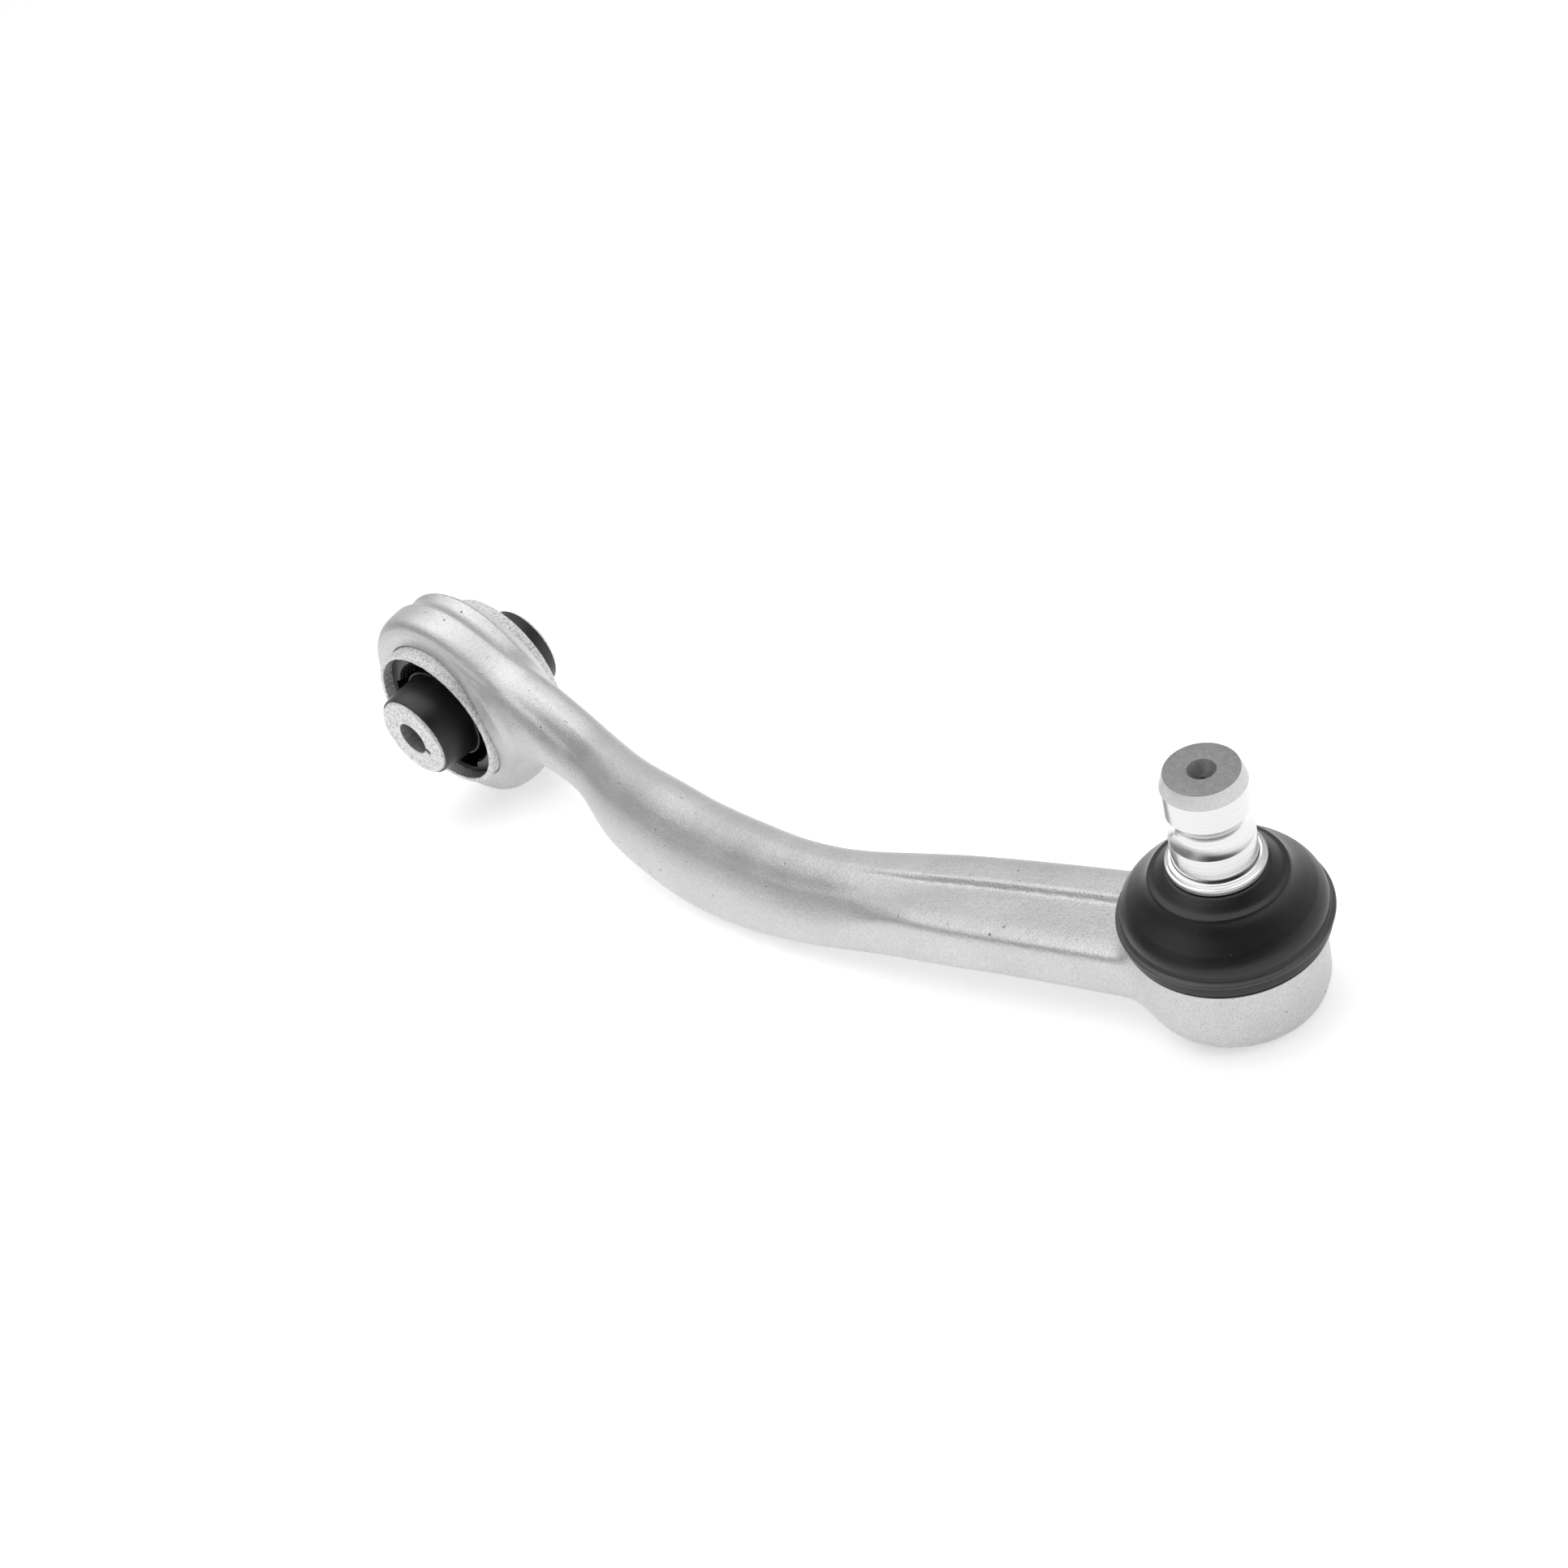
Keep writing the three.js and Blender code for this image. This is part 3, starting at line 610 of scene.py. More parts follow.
def seam_cutter():
    """A long thin bar with a ragged floor, lying along one side of the bolt bore."""
    half = SEAM_WIDTH / 2
    length = INNER_SLEEVE_HALF + 2
    stations = 24
    start = BOLT_BORE - 2.1
    vertices = []
    for i in range(stations):
        y = -length + 2 * length * i / (stations - 1)
        deep = BOLT_BORE + SEAM_DEPTH + 0.35 * noise.noise(Vector((y * 0.9, 2, 5)))
        narrow = half * (0.7 + 0.3 * noise.noise(Vector((y, 8, 1))))
        vertices += [(start, y, -half), (deep, y, -narrow), (deep - 0.3, y, narrow), (start, y, half)]
    faces = [(0, 1, 2, 3), tuple(4 * (stations - 1) + k for k in (3, 2, 1, 0))]
    for i in range(stations - 1):
        for k in range(4):
            a, b = 4 * i + k, 4 * i + (k + 1) % 4
            faces.append((b, a, a + 4, b + 4))
    turn = Matrix.Rotation(-math.radians(SEAM_ANGLE), 4, "Y")
    return add_mesh("seam", vertices, faces, arm_frame @ turn)


def make_core_rubber(material):
    """The rubber skin on the inner sleeve, a little thicker towards the middle."""
    inner = INNER_SLEEVE_RADIUS + 0.1
    outline = rounded(
        [
            (inner, -CORE_HALF),
            (CORE_RADIUS - 0.75, -CORE_HALF, 0.6),
            (CORE_RADIUS - 0.25, -CORE_HALF + 2.6, 2),
            (CORE_RADIUS, -13),
            (CORE_RADIUS, 13),
            (CORE_RADIUS - 0.25, CORE_HALF - 2.6, 2),
            (CORE_RADIUS - 0.75, CORE_HALF, 0.6),
            (inner, CORE_HALF),
        ]
    )
    piece = lathe("core_skin", outline, bush_lathe_frame)
    hand_over(piece, "bush_core", "black_rubber", material, "bush_core_rubber")


def arc_points(radius, start, end):
    """Points round an arc about the bush, with angles in degrees from +X towards +Z."""
    count = max(4, int(abs(end - start) / 2))
    angles = [math.radians(start + (end - start) * i / count) for i in range(count + 1)]
    return [(radius * math.cos(a), radius * math.sin(a)) for a in angles]


def kidney(direction):
    """A kidney-shaped hole in the moulding, with a bumper standing in from its outer wall."""
    half, bump = VOID_HALF_ANGLE, BUMPER_HALF_ANGLE
    inner, outer = HUB_RADIUS, LINER_RADIUS
    corner = 3  # degrees that a corner or a slope takes up
    shoulder = outer - 0.6
    return [
        *arc_points(inner, direction - half + corner, direction + half - corner),
        *arc_points(shoulder, direction + half, direction + half - 1),
        *arc_points(outer, direction + half - corner, direction + bump + corner),
        *arc_points(outer - BUMPER_HEIGHT, direction + bump - corner, direction - bump + corner),
        *arc_points(outer, direction - bump - corner, direction - half + corner),
        *arc_points(shoulder, direction - half + 1, direction - half),
    ]


def make_bush_rubber(material):
    """The moulding between the sleeves: a filled outline with two kidney-shaped holes."""
    edge = 0.55
    curve = bpy.data.curves.new("rubber_outline", "CURVE")
    curve.dimensions = "2D"
    curve.fill_mode = "BOTH"
    curve.extrude = (RUBBER_HALF - edge) * MM
    curve.bevel_depth = edge * MM
    curve.bevel_resolution = 3
    curve.offset = -edge * MM
    loops = [arc_points(OUTER_SLEEVE_BORE - 0.05, 0, 360)[:-1]]
    loops.append(arc_points(CORE_RADIUS + 0.08, 0, 360)[:-1])
    loops += [kidney(direction) for direction in VOID_DIRECTIONS]
    for loop in loops:
        spline = curve.splines.new("POLY")
        spline.points.add(len(loop) - 1)
        for point, (x, z) in zip(spline.points, loop):
            point.co = (x * MM, z * MM, 0, 1)
        spline.use_cyclic_u = True
    piece = new_object("bush_moulding", curve)
    bpy.context.view_layer.update()
    mesh = bpy.data.meshes.new_from_object(piece.evaluated_get(bpy.context.evaluated_depsgraph_get()))
    bpy.data.objects.remove(piece)
    # The outline's own plane is laid across the bush.
    mesh.transform(arm_frame @ Matrix.Rotation(math.radians(90), 4, "X"))
    piece = new_object("bush_moulding", mesh)
    weld(piece)
    shade(piece)
    hand_over(piece, "arm", "black_rubber", material, "bush_rubber")


def weld(piece):
    modifier = piece.modifiers.new("weld", "WELD")
    modifier.merge_threshold = WELD_GAP
    settle(piece)


def make_bumper_nubs(material):
    """Rows of small round nubs on the two bumpers."""
    vertices = []
    faces = []
    base = LINER_RADIUS - BUMPER_HEIGHT
    for direction in VOID_DIRECTIONS:
        for row in range(NUB_ROWS):
            for column in range(NUB_COLUMNS):
                spread = (column - NUB_COLUMNS // 2 + 0.5 * (row % 2)) * NUB_TURN
                y = NUB_START + row * NUB_STEP
                add_nub(vertices, faces, math.radians(direction + spread), base, y)
    piece = add_mesh("bumper_nubs", vertices, faces, arm_frame)
    hand_over(piece, "arm", "black_rubber", material, "bush_rubber")


def add_nub(vertices, faces, angle, base, y):
    """One closed dome that stands in from the bumper's face towards the bush's middle."""
    radius, tall, sides = 0.52, 0.55, 10
    sunk = 0.15  # its foot lies this far under the bumper's face
    outward = Vector((math.cos(angle), 0, math.sin(angle)))
    around = Vector((-math.sin(angle), 0, math.cos(angle)))
    start = len(vertices)
    centre = outward * (base + sunk) + Vector((0, y, 0))
    rings = ((1, 0), (0.95, 0.45), (0.6, 0.85))  # shares of its radius and height
    for wide, high in rings:
        for k in range(sides):
            turn = 2 * math.pi * k / sides
            offset = around * math.cos(turn) + Vector((0, 1, 0)) * math.sin(turn)
            vertices.append(centre + offset * radius * wide - outward * tall * high)
    vertices.append(centre - outward * tall)
    vertices.append(centre)
    tip, foot = len(vertices) - 2, len(vertices) - 1
    for k in range(sides):
        n = (k + 1) % sides
        for level in range(len(rings) - 1):
            low = start + level * sides
            faces.append((low + k, low + n, low + sides + n, low + sides + k))
        top = start + (len(rings) - 1) * sides
        faces.append((top + k, top + n, tip))
        faces.append((start + n, start + k, foot))


# ---- Ball joint -----------------------------------------------------------------------------------

# Heights here are above the ball's centre.
BALL_RADIUS = 11
BALL_FLAT = -9.6  # the flat under the ball
BALL_STEPS = 36
NECK_RADIUS = 5.8
SHANK_RADIUS = 8
GROOVE_RADIUS = 6.5
GROOVE_LEVEL = 30.1
STUD_TOP = 42
CHAMFER_FOOT = 39.1
HOLE_RADIUS = 2.7  # the centre hole in the tip
BOOT_SPLIT = 12.2  # on the boot's cone where its two pieces meet
BOOT_TOP = 19
LIP_INNER = 19.45  # the boot's lower lip carries a painted highlight, a paler rubber band: its inner radius and two heights
LIP_LOW = 6.55
LIP_HIGH = 7.35


def make_ball_stud(material, tip_material, chamfer_material):
    low = math.degrees(math.asin(BALL_FLAT / BALL_RADIUS))
    high = math.degrees(math.acos(NECK_RADIUS / BALL_RADIUS))
    ball = []
    for i in range(BALL_STEPS + 1):
        angle = math.radians(low + (high - low) * i / BALL_STEPS)
        ball.append((BALL_RADIUS * math.cos(angle), BALL_RADIUS * math.sin(angle)))
    groove_middle = (GROOVE_RADIUS, GROOVE_LEVEL)
    groove = smooth_line([(SHANK_RADIUS, 26.7), (7.35, 27.6), (6.75, 28.8), groove_middle])
    groove += smooth_line([groove_middle, (6.75, 31.4), (7.35, 32.6), (SHANK_RADIUS, 33.5)])[1:]
    shank = rounded(
        [
            (NECK_RADIUS, 12.2, 1.5),
            (6.5, 14),
            (SHANK_RADIUS, 15.6, 0.8),
            (SHANK_RADIUS, 26.2),
        ]
    )[1:]
    tip = rounded(
        [
            (SHANK_RADIUS, 33.9),
            (SHANK_RADIUS, CHAMFER_FOOT, 0.15),
            (7, STUD_TOP, 0.2),
            (HOLE_RADIUS, STUD_TOP, 0.15),
            (1.4, 40.3, 0.3),
            (0.7, 39.4, 0.2),
            (0.6, 38.8),
        ]
    )
    outline = [(0, BALL_FLAT), *ball, *shank, *groove, *tip, (0, 38.6)]
    piece = lathe("stud", outline, housing_frame)
    hand_over(piece, "stud", "machined_steel", material, "ball_stud")
    piece.data.materials.append(tip_material)
    piece.data.materials.append(chamfer_material)
    for face in piece.data.polygons:
        place = (housing_frame.inverted() @ face.center) / MM
        in_hole = place.z > 38 and place.xy.length < HOLE_RADIUS + 0.2
        if place.z > STUD_TOP - 0.06 or in_hole:
            face.material_index = 1
        # The chamfer's faces get the darker steel: painted shade.
        elif place.z > CHAMFER_FOOT:
            face.material_index = 2


def make_collar(material):
    outline = rounded(
        [
            (8.1, 19.25),
            (9.4, 19.25, 0.15),
            (9.4, 20.45, 0.2),
            (8.95, 20.6),
            (8.9, 21.35, 0.2),
            (8.5, 21.5, 0.1),
            (8.1, 21.5),
        ]
    )
    piece = lathe("collar", outline, housing_frame)
    hand_over(piece, "stud", "machined_steel", material, "stud_collar")


def make_cap(material):
    """The pressed cap under the ball, dished in the middle."""
    outline = rounded(
        [
            (0, -12.05),
            (7.8, -12.05, 1),
            (9, -12.6, 1),
            (13.9, -12.6, 0.2),
            (13.9, -11.25),
            (0, -11.25),
        ]
    )
    piece = lathe("cap", [(0, -12.05), *outline[1:-1], (0, -11.25)], housing_frame)
    hand_over(piece, "arm", "black_steel", material, "housing_cap")


def make_clamp(material):
    outline = rounded(
        [
            (18.45, 3.7, 0.2),
            (19.8, 3.7, 0.35),
            (19.8, 5.9, 0.35),
            (18.45, 5.9, 0.2),
        ]
    )
    piece = lathe("clamp", outline, housing_frame)
    hand_over(piece, "arm", "black_steel", material, "boot_lower_clamp")


def make_boot(material, painted_highlight_material):
    """The boot in two pieces that meet on its cone.

    Each outline goes up the outside and back down the inside.
    """
    lower_outside = [
        (18.9, 2.6),
        (19.3, 2.75),
        (19.4, 3.15),
        (19, 3.4),
        (18.3, 3.5),
        (18.3, 6.05),
        (19.3, 6.08),
        (20.2, 6.2),
        (20.45, 6.5),
        (20.3, 6.85),
        (19.85, 7.1),
        (19.5, 7.4),
        (19.4, 7.9),
        (19.4, 8.6),
        (19.25, 9.4),
        (18.75, 10.4),
        (17.8, 11.6),
        (17.17, BOOT_SPLIT),
    ]
    lower_inside = [
        (15.8, BOOT_SPLIT),
        (16.4, 11.6),
        (17.5, 10.2),
        (18, 9),
        (18.2, 8),
        (18, 7.4),
        (17.1, 6.6),
        (17.1, 2.6),
    ]
    lower = lathe("boot_lower", smooth_line(lower_outside, 4) + lower_inside, housing_frame)
    upper_outside = [
        (17.17, BOOT_SPLIT),
        (16.4, 12.9),
        (15, 14.2),
        (14, 15.3),
        (13.3, 16.3),
    ]
    shoulder = [(13, 16.7), (12.6, 16.85), (11.9, 17.15), (10.7, 18.1), (9.8, 18.8)]
    bead = [(9.3, BOOT_TOP), (8.6, BOOT_TOP), (8.25, 18.7), (8.2, 14.8), (9.2, 14.6)]
    upper_inside = [
        (9.4, 16.6),
        (11.3, 16.4),
        (12, 15.3),
        (13.2, 14.5),
        (15.05, 12.9),
        (15.8, BOOT_SPLIT),
    ]
    outside = smooth_line(upper_outside, 5) + smooth_line(shoulder, 4) + bead
    upper = lathe("boot_upper", outside + upper_inside, housing_frame)

    def on_axis(height):
        return tuple(housing_frame @ Vector((0, 0, height * MM)))

    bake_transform(lower)
    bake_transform(upper)
    for piece in (lower, upper):
        hand_over(piece, None, "black_rubber", material, "dust_boot")
    # The lower lip's outer band gets a paler rubber: a painted highlight along the lip.
    lower.data.materials.append(painted_highlight_material)
    for face in lower.data.polygons:
        place = (housing_frame.inverted() @ face.center) / MM
        if place.xy.length > LIP_INNER and LIP_LOW < place.z < LIP_HIGH:
            face.material_index = 1


# ---- Materials ------------------------------------------------------------------------------------


class Paint:
    """A small helper for building a material's nodes."""

    # A Mix node names its sockets alike for every kind of data: these are the colour ones.
    MIX_SHARE = 0
    MIX_FIRST = 6
    MIX_SECOND = 7
    MIX_RESULT = 2

    def __init__(self, name):
        self.material = bpy.data.materials.new(name)
        self.material.use_nodes = True
        self.nodes = self.material.node_tree.nodes
        self.links = self.material.node_tree.links
        self.shader = self.nodes["Principled BSDF"]
        self.place = self.nodes.new("ShaderNodeTexCoord").outputs["Object"]

    def set(self, **values):
        for name, value in values.items():
            self.shader.inputs[name.replace("_", " ")].default_value = value

    def link(self, output, name):
        self.links.new(output, self.shader.inputs[name])

    def node(self, kind, **inputs):
        node = self.nodes.new(kind)
        for name, value in inputs.items():
            socket = node.inputs[name.replace("_", " ")]
            if isinstance(value, bpy.types.NodeSocket):
                self.links.new(value, socket)
            else:
                socket.default_value = value
        return node

    def noise(self, scale, detail=4.0, rough=0.6, vector=None):
        """Soft noise. Scale is features to the metre."""
        node = self.node(
            "ShaderNodeTexNoise", Vector=vector or self.place, Scale=scale, Detail=detail
        )
        node.inputs["Roughness"].default_value = rough
        return node.outputs["Fac"]

    def spots(self, scale, size, share):
        """Round spots, 1 in the middle, in a given share of the cells of a Voronoi pattern."""
        cells = self.node("ShaderNodeTexVoronoi", Vector=self.place, Scale=scale)
        near = self.between(cells.outputs["Distance"], size, size * 0.4, 0, 1)
        pick = self.node("ShaderNodeSeparateColor", Color=cells.outputs["Color"])
        chosen = self.between(pick.outputs["Red"], share, share * 0.9, 0, 1)
        return self.math("MULTIPLY", near, chosen)

    def between(self, value, low, high, start, end):
        node = self.node("ShaderNodeMapRange", Value=value)
        node.inputs["From Min"].default_value = low
        node.inputs["From Max"].default_value = high
        node.inputs["To Min"].default_value = start
        node.inputs["To Max"].default_value = end
        return node.outputs["Result"]

    def math(self, operation, a, b):
        node = self.nodes.new("ShaderNodeMath")
        node.operation = operation
        for socket, value in zip(node.inputs, (a, b)):
            if isinstance(value, bpy.types.NodeSocket):
                self.links.new(value, socket)
            else:
                socket.default_value = value
        return node.outputs["Value"]

    def mix(self, share, first, second):
        """A colour between two colours, each a tuple or an output."""
        node = self.nodes.new("ShaderNodeMix")
        node.data_type = "RGBA"
        values = {self.MIX_SHARE: share, self.MIX_FIRST: first, self.MIX_SECOND: second}
        for number, value in values.items():
            socket = node.inputs[number]
            if isinstance(value, bpy.types.NodeSocket):
                self.links.new(value, socket)
            else:
                socket.default_value = value
        return node.outputs[self.MIX_RESULT]

    def bump(self, height, distance, strength=1.0, after=None):
        node = self.node("ShaderNodeBump", Height=height, Distance=distance, Strength=strength)
        if after:
            self.links.new(after, node.inputs["Normal"])
        return node.outputs["Normal"]

    def along(self, axis):
        """Distance along an axis, as an output."""
        node = self.nodes.new("ShaderNodeVectorMath")
        node.operation = "DOT_PRODUCT"
        self.links.new(self.place, node.inputs[0])
        node.inputs[1].default_value = axis
        return node.outputs["Value"]


def grey(value):
    """A grey with a trace of blue."""
    return (value, value, value * 1.005, 1)


PITTED_SPOT = (52, -10, -2)  # in the arm's frame: the front of the neck
PITTED_REACH = (12, 24)  # the cluster of pits is full up to here, and gone from here


def forged_aluminium():
    paint = Paint("forged_aluminium")
    grain = paint.noise(2600, detail=3)
    cloud = paint.noise(70, detail=5)
    ripple = paint.noise(520, detail=3)
    neck = paint.node("ShaderNodeVectorMath")
    neck.operation = "DISTANCE"
    paint.links.new(paint.place, neck.inputs[0])
    neck.inputs[1].default_value = arm_frame @ (Vector(PITTED_SPOT) * MM)
    full, gone = (distance * MM for distance in PITTED_REACH)
    near_neck = paint.between(neck.outputs["Value"], full, gone, 1, 0)
    pits = paint.spots(420, 0.16, 0.10)
    specks = paint.spots(1300, 0.2, 0.2)
    cluster = paint.math("MULTIPLY", paint.spots(820, 0.2, 0.3), near_neck)
    tone = paint.mix(paint.between(cloud, 0.3, 0.7, 0, 1), grey(0.61), grey(0.71))
    tone = paint.mix(paint.between(grain, 0.35, 0.65, 0.6, 0), tone, grey(0.42))
    dark = paint.math("MAXIMUM", pits, paint.math("MULTIPLY", specks, 0.6))
    dark = paint.math("MAXIMUM", dark, cluster)
    paint.link(paint.mix(paint.math("MULTIPLY", dark, 0.8), tone, grey(0.12)), "Base Color")
    broad_rough = paint.between(cloud, 0.3, 0.7, 0.38, 0.46)
    fine_rough = paint.between(grain, 0, 1, -0.03, 0.05)
    paint.link(paint.math("ADD", broad_rough, fine_rough), "Roughness")
    paint.set(Metallic=1.0)
    fine = paint.bump(grain, 0.0002, 0.6)
    wavy = paint.bump(ripple, 0.0004, 0.22, after=fine)
    paint.link(paint.bump(paint.math("MULTIPLY", dark, -1), 0.0002, 0.8, after=wavy), "Normal")
    return paint.material


def dark_bore_steel():
    """The bolt bore: a dull dark tube wall."""
    paint = Paint("dark_bore_steel")
    cloud = paint.noise(700, detail=4)
    grain = paint.noise(3000, detail=3)
    paint.link(paint.mix(paint.between(cloud, 0.3, 0.7, 0, 1), grey(0.3), grey(0.46)), "Base Color")
    paint.link(paint.between(grain, 0.3, 0.7, 0.45, 0.6), "Roughness")
    paint.set(Metallic=0.8)
    paint.link(paint.bump(grain, 0.0001, 0.5), "Normal")
    return paint.material


def sanded_metal():
    paint = Paint("sanded_metal")
    grain = paint.noise(3400, detail=4, rough=0.75)
    coarse = paint.noise(1500, detail=3)
    blots = paint.between(coarse, 0.38, 0.52, 0.6, 0)
    tone = paint.mix(paint.between(grain, 0.38, 0.6, 0, 1), grey(0.6), grey(0.95))
    paint.link(paint.mix(blots, tone, grey(0.33)), "Base Color")
    paint.link(paint.between(grain, 0.3, 0.7, 0.5, 0.62), "Roughness")
    paint.set(Metallic=1.0)
    fine = paint.bump(grain, 0.00025, 0.8)
    paint.link(paint.bump(coarse, 0.0004, 0.5, after=fine), "Normal")
    return paint.material


def turned_steel():
    """Bright turned steel: faint rings round the stud's axis."""
    paint = Paint("turned_steel")
    height = paint.along(stud_axis)
    rings = paint.nodes.new("ShaderNodeTexNoise")
    rings.noise_dimensions = "1D"
    rings.inputs["Scale"].default_value = 5200
    rings.inputs["Detail"].default_value = 3
    paint.links.new(height, rings.inputs["W"])
    cloud = paint.noise(160, detail=4)
    specks = paint.spots(900, 0.14, 0.03)
    tone = paint.mix(paint.between(rings.outputs["Fac"], 0.3, 0.7, 0, 1), grey(0.64), grey(0.76))
    paint.link(paint.mix(paint.math("MULTIPLY", specks, 0.7), tone, grey(0.16)), "Base Color")
    paint.link(paint.between(cloud, 0.3, 0.7, 0.12, 0.2), "Roughness")
    paint.set(Metallic=1.0)
    paint.link(paint.bump(rings.outputs["Fac"], 0.00003, 0.35), "Normal")
    return paint.material


def sawn_steel():
    """The stud's end face: a dull grainy grey."""
    paint = Paint("sawn_steel")
    grain = paint.noise(4200, detail=4, rough=0.7)
    coarse = paint.noise(900, detail=3)
    tone = paint.mix(paint.between(grain, 0.35, 0.65, 0, 1), grey(0.2), grey(0.35))
    paint.link(paint.mix(paint.between(coarse, 0.4, 0.7, 0, 0.4), tone, grey(0.18)), "Base Color")
    paint.link(paint.between(grain, 0.3, 0.7, 0.42, 0.55), "Roughness")
    paint.set(Metallic=0.9)
    paint.link(paint.bump(grain, 0.00015, 0.5), "Normal")
    return paint.material


def painted_shade_chamfer_steel():
    """The stud's chamfer: a duller turned band, its darker grey painted shade."""
    paint = Paint("painted_shade_chamfer_steel")
    grain = paint.noise(2800, detail=3)
    paint.link(paint.mix(paint.between(grain, 0.35, 0.65, 0, 1), grey(0.47), grey(0.58)), "Base Color")
    paint.link(paint.between(grain, 0.3, 0.7, 0.26, 0.36), "Roughness")
    paint.set(Metallic=1.0)
    paint.link(paint.bump(grain, 0.00004, 0.4), "Normal")
    return paint.material


def black_rubber(name="black_rubber", darkest=0.005, palest=0.009):
    paint = Paint(name)
    grain = paint.noise(2400, detail=4)
    cloud = paint.noise(90, detail=4)
    dust = paint.spots(700, 0.12, 0.04)
    tone = paint.mix(paint.between(cloud, 0.35, 0.7, 0, 1), grey(darkest), grey(palest))
    paint.link(paint.mix(paint.math("MULTIPLY", dust, 0.5), tone, grey(0.12)), "Base Color")
    broad_rough = paint.between(cloud, 0.3, 0.7, 0.28, 0.36)
    fine_rough = paint.between(grain, 0, 1, -0.04, 0.06)
    paint.link(paint.math("ADD", broad_rough, fine_rough), "Roughness")
    paint.set(IOR=1.48)
    paint.link(paint.bump(grain, 0.00008, 0.35), "Normal")
    return paint.material


def black_steel():
    paint = Paint("black_steel")
    grain = paint.noise(3000, detail=3)
    cloud = paint.noise(200, detail=4)
    paint.link(paint.mix(paint.between(cloud, 0.3, 0.7, 0, 1), grey(0.012), grey(0.022)), "Base Color")
    paint.link(paint.between(grain, 0.3, 0.7, 0.34, 0.48), "Roughness")
    paint.set(Metallic=0.3)
    paint.link(paint.bump(grain, 0.00006, 0.3), "Normal")
    return paint.material


def bearing_plastic():
    paint = Paint("bearing_plastic")
    cloud = paint.noise(300, detail=3)
    grain = paint.noise(2000, detail=3)
    paint.link(paint.mix(cloud, (0.72, 0.70, 0.62, 1), (0.80, 0.78, 0.71, 1)), "Base Color")
    paint.link(paint.between(grain, 0.3, 0.7, 0.4, 0.5), "Roughness")
    paint.link(paint.bump(grain, 0.00005, 0.3), "Normal")
    return paint.material


# ---- Stage, light and camera ----------------------------------------------------------------------

CAMERA_PLACE = Vector((0.40075, -0.25416, 0.25885))
CAMERA_AIM = Vector((0.02598, -0.01111, 0.03419))
CAMERA_ROLL = -27.13  # degrees, as the object is framed
CAMERA_LENS = 50
CAMERA_SENSOR = 36
FLOOR_RADIUS = 12  # metres
FLOOR_SIDES = 96
FLOOR_GLOW = 0.45  # the floor is a light table
OVERHEAD_STRENGTH = 1.2
OVERHEAD_SPREAD = 80  # degrees across
# The surround's tone at each height, from the horizon (0) to straight above (1)
SKY_TONES = [(0, 1), (0.1, 0.92), (0.3, 0.5), (0.46, 0.5), (0.64, 0.85), (1, 0.95)]
# The surround stays white down at the horizon: its dim sides fade in between these heights.
DIM_HEIGHTS = (0.09, 0.2)
# The surround's two dim sides: the way to each, degrees from there to its inner and outer edges,
# and the share of the tone left in the middle
DIM_SIDES = [((0.75, -0.49, 0.45), 18, 60, 0.12), ((-0.75, -0.62, 0.14), 22, 50, 0.5)]


def make_camera():
    data = bpy.data.cameras.new("camera")
    data.lens = CAMERA_LENS
    data.sensor_width = CAMERA_SENSOR
    data.clip_start = 0.01
    data.clip_end = 50
    camera = bpy.data.objects.new("camera", data)
    bpy.context.scene.collection.objects.link(camera)
    look = (CAMERA_AIM - CAMERA_PLACE).to_track_quat("-Z", "Y").to_matrix().to_4x4()
    roll = Matrix.Rotation(math.radians(CAMERA_ROLL), 4, "Z")
    camera.matrix_world = Matrix.Translation(CAMERA_PLACE) @ look @ roll
    bpy.context.scene.camera = camera


def make_floor():
    angles = [2 * math.pi * k / FLOOR_SIDES for k in range(FLOOR_SIDES)]
    ring = [(FLOOR_RADIUS * math.cos(a), FLOOR_RADIUS * math.sin(a), 0) for a in angles]
    mesh = bpy.data.meshes.new("floor")
    mesh.from_pydata(ring, [], [tuple(range(FLOOR_SIDES))])
    floor = new_object("floor", mesh)
    paint = Paint("pale_floor")
    paint.link(paint.mix(paint.noise(3, detail=2), grey(0.83), grey(0.85)), "Base Color")
    paint.set(Roughness=0.8, Emission_Color=grey(1), Emission_Strength=FLOOR_GLOW)
    mesh.materials.append(paint.material)


def make_overhead_light():
    """A very broad soft light from straight above."""
    data = bpy.data.lights.new("overhead", "SUN")
    data.energy = OVERHEAD_STRENGTH
    data.angle = math.radians(OVERHEAD_SPREAD)
    light = bpy.data.objects.new("overhead", data)
    bpy.context.scene.collection.objects.link(light)
    light.location = (0, 0, 2)


def eased(tree, value, low, high, start, end):
    """A value carried smoothly from the range low to high to the range start to end."""
    node = tree.nodes.new("ShaderNodeMapRange")
    node.interpolation_type = "SMOOTHSTEP"
    tree.links.new(value, node.inputs["Value"])
    limits = {"From Min": low, "From Max": high, "To Min": start, "To Max": end}
    for name, limit in limits.items():
        node.inputs[name].default_value = limit
    return node.outputs["Result"]


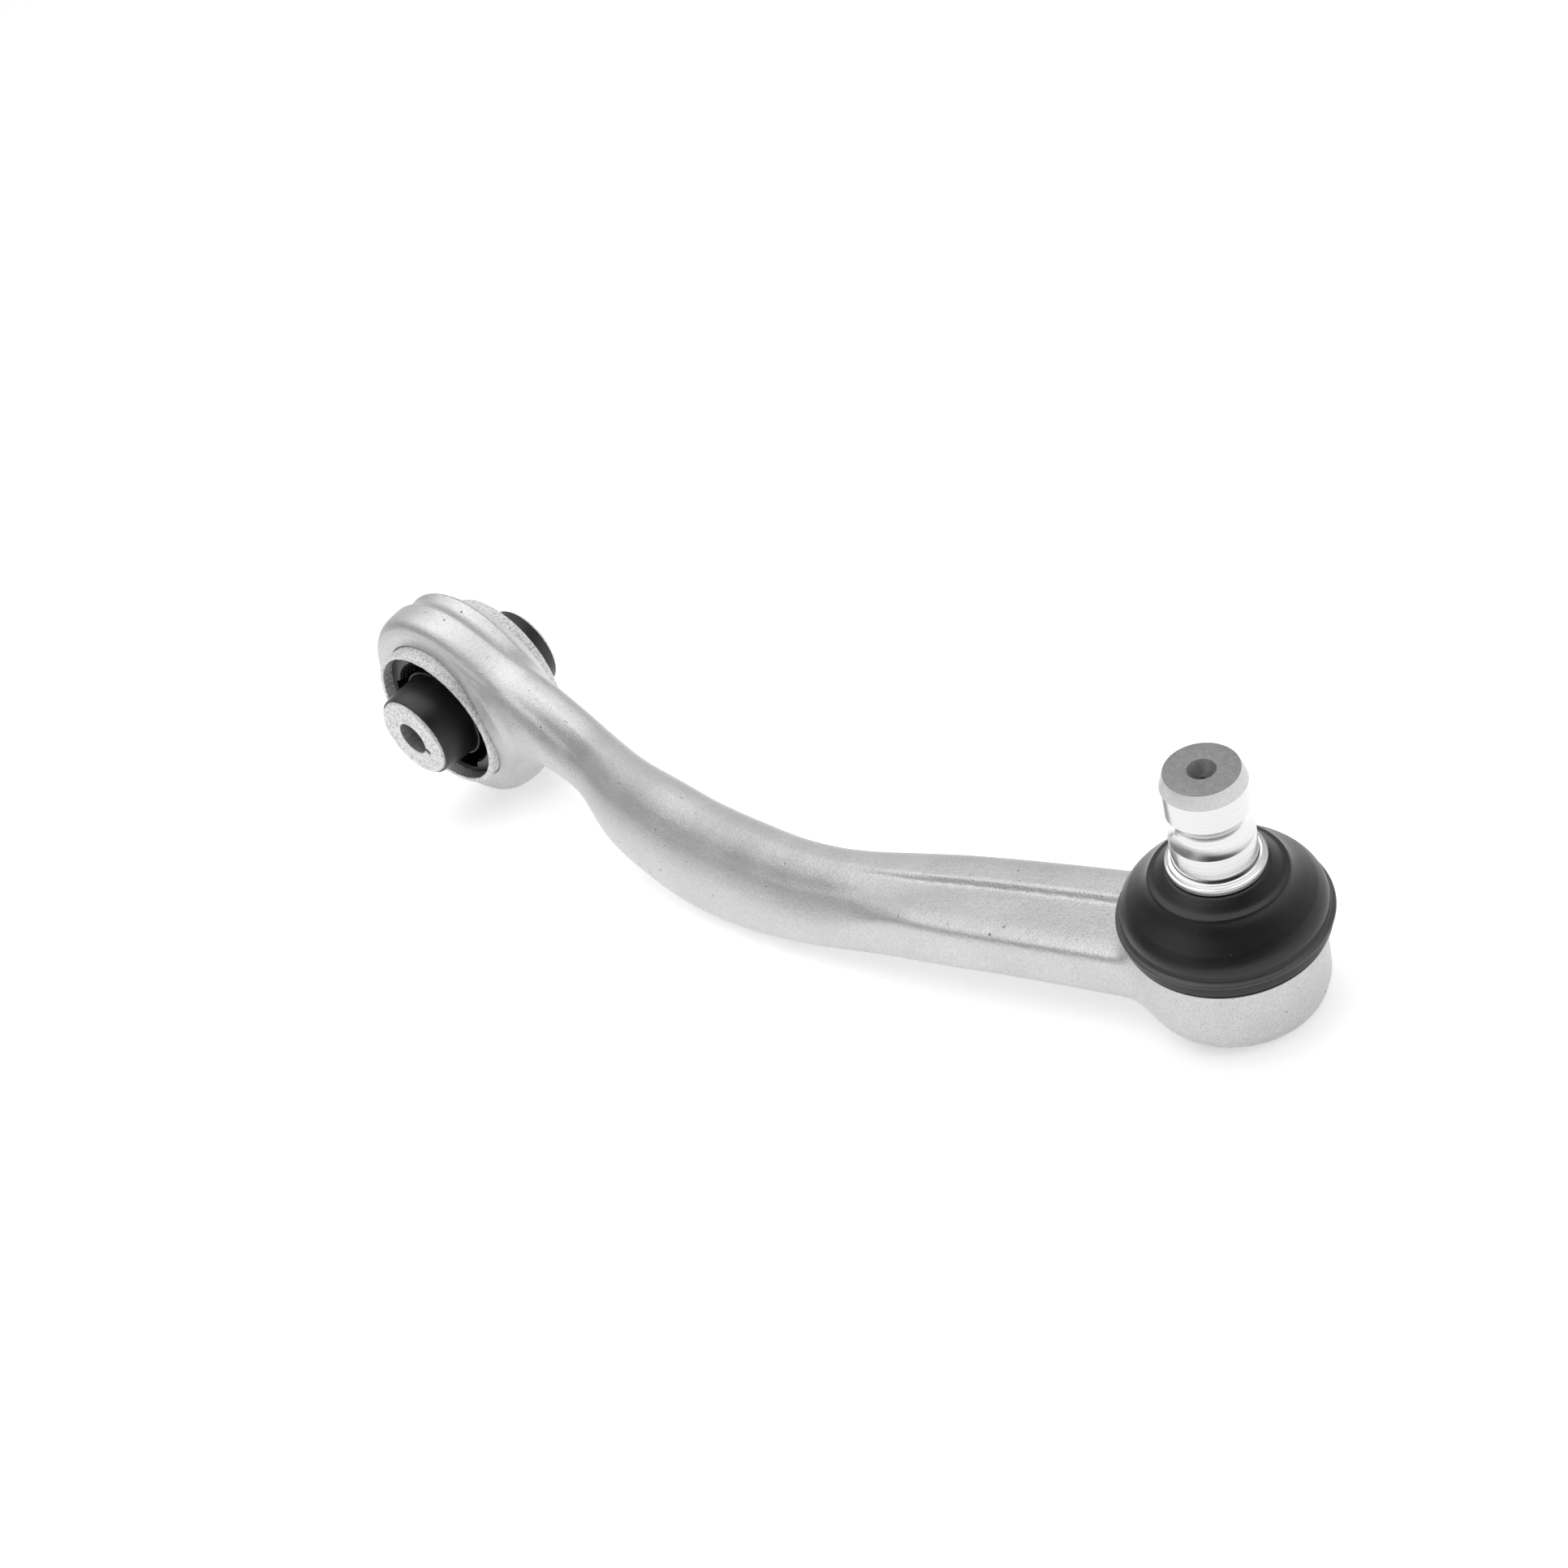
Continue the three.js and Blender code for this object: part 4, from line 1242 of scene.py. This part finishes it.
def make_world():
    """A white surround, greyer halfway up, with two dim sides."""
    world = bpy.data.worlds.new("surround")
    bpy.context.scene.world = world
    world.use_nodes = True
    nodes, links = world.node_tree.nodes, world.node_tree.links
    place = nodes.new("ShaderNodeTexCoord")
    split = nodes.new("ShaderNodeSeparateXYZ")
    links.new(place.outputs["Generated"], split.inputs[0])
    tones = nodes.new("ShaderNodeValToRGB")
    links.new(split.outputs["Z"], tones.inputs["Fac"])
    steps = tones.color_ramp.elements
    while len(steps) < len(SKY_TONES):
        steps.new(0.5)
    for step, (height, tone) in zip(steps, SKY_TONES):
        step.position = height
        step.color = grey(tone)
    dims = []
    for side, inner, outer, share in DIM_SIDES:
        towards = nodes.new("ShaderNodeVectorMath")
        towards.operation = "DOT_PRODUCT"
        links.new(place.outputs["Generated"], towards.inputs[0])
        towards.inputs[1].default_value = Vector(side).normalized()
        outer_edge, inner_edge = (math.cos(math.radians(angle)) for angle in (outer, inner))
        dims.append(eased(world.node_tree, towards.outputs["Value"], outer_edge, inner_edge, 1, share))
    both = nodes.new("ShaderNodeMath")
    both.operation = "MULTIPLY"
    for socket, dim in zip(both.inputs, dims):
        links.new(dim, socket)
    blend = nodes.new("ShaderNodeMix")
    links.new(eased(world.node_tree, split.outputs["Z"], *DIM_HEIGHTS, 0, 1), blend.inputs["Factor"])
    blend.inputs["A"].default_value = 1
    links.new(both.outputs["Value"], blend.inputs["B"])
    links.new(tones.outputs["Color"], nodes["Background"].inputs["Color"])
    links.new(blend.outputs["Result"], nodes["Background"].inputs["Strength"])


def make_stage():
    make_world()
    make_floor()
    make_overhead_light()
    bpy.context.scene.view_settings.view_transform = "Standard"


# ---- The whole object -----------------------------------------------------------------------------


def dress(node, material):
    """Gives a carried-over CAD node a better material."""
    target = frame["nodes"][node]
    target.data.materials.clear()
    target.data.materials.append(material)


rubber = black_rubber()
coated = black_steel()
sanded = sanded_metal()
steel = turned_steel()

make_camera()
make_stage()
make_forging(forged_aluminium())
make_outer_sleeve(sanded)
make_inner_sleeve(sanded, dark_bore_steel())
make_core_rubber(rubber)
make_bush_rubber(rubber)
make_bumper_nubs(rubber)
make_ball_stud(steel, sawn_steel(), painted_shade_chamfer_steel())
make_collar(steel)
make_cap(coated)
make_clamp(coated)
make_boot(rubber, black_rubber("painted_highlight_rubber", 0.05, 0.08))
dress("ball_seat", bearing_plastic())
dress("boot_bead_ring", coated)
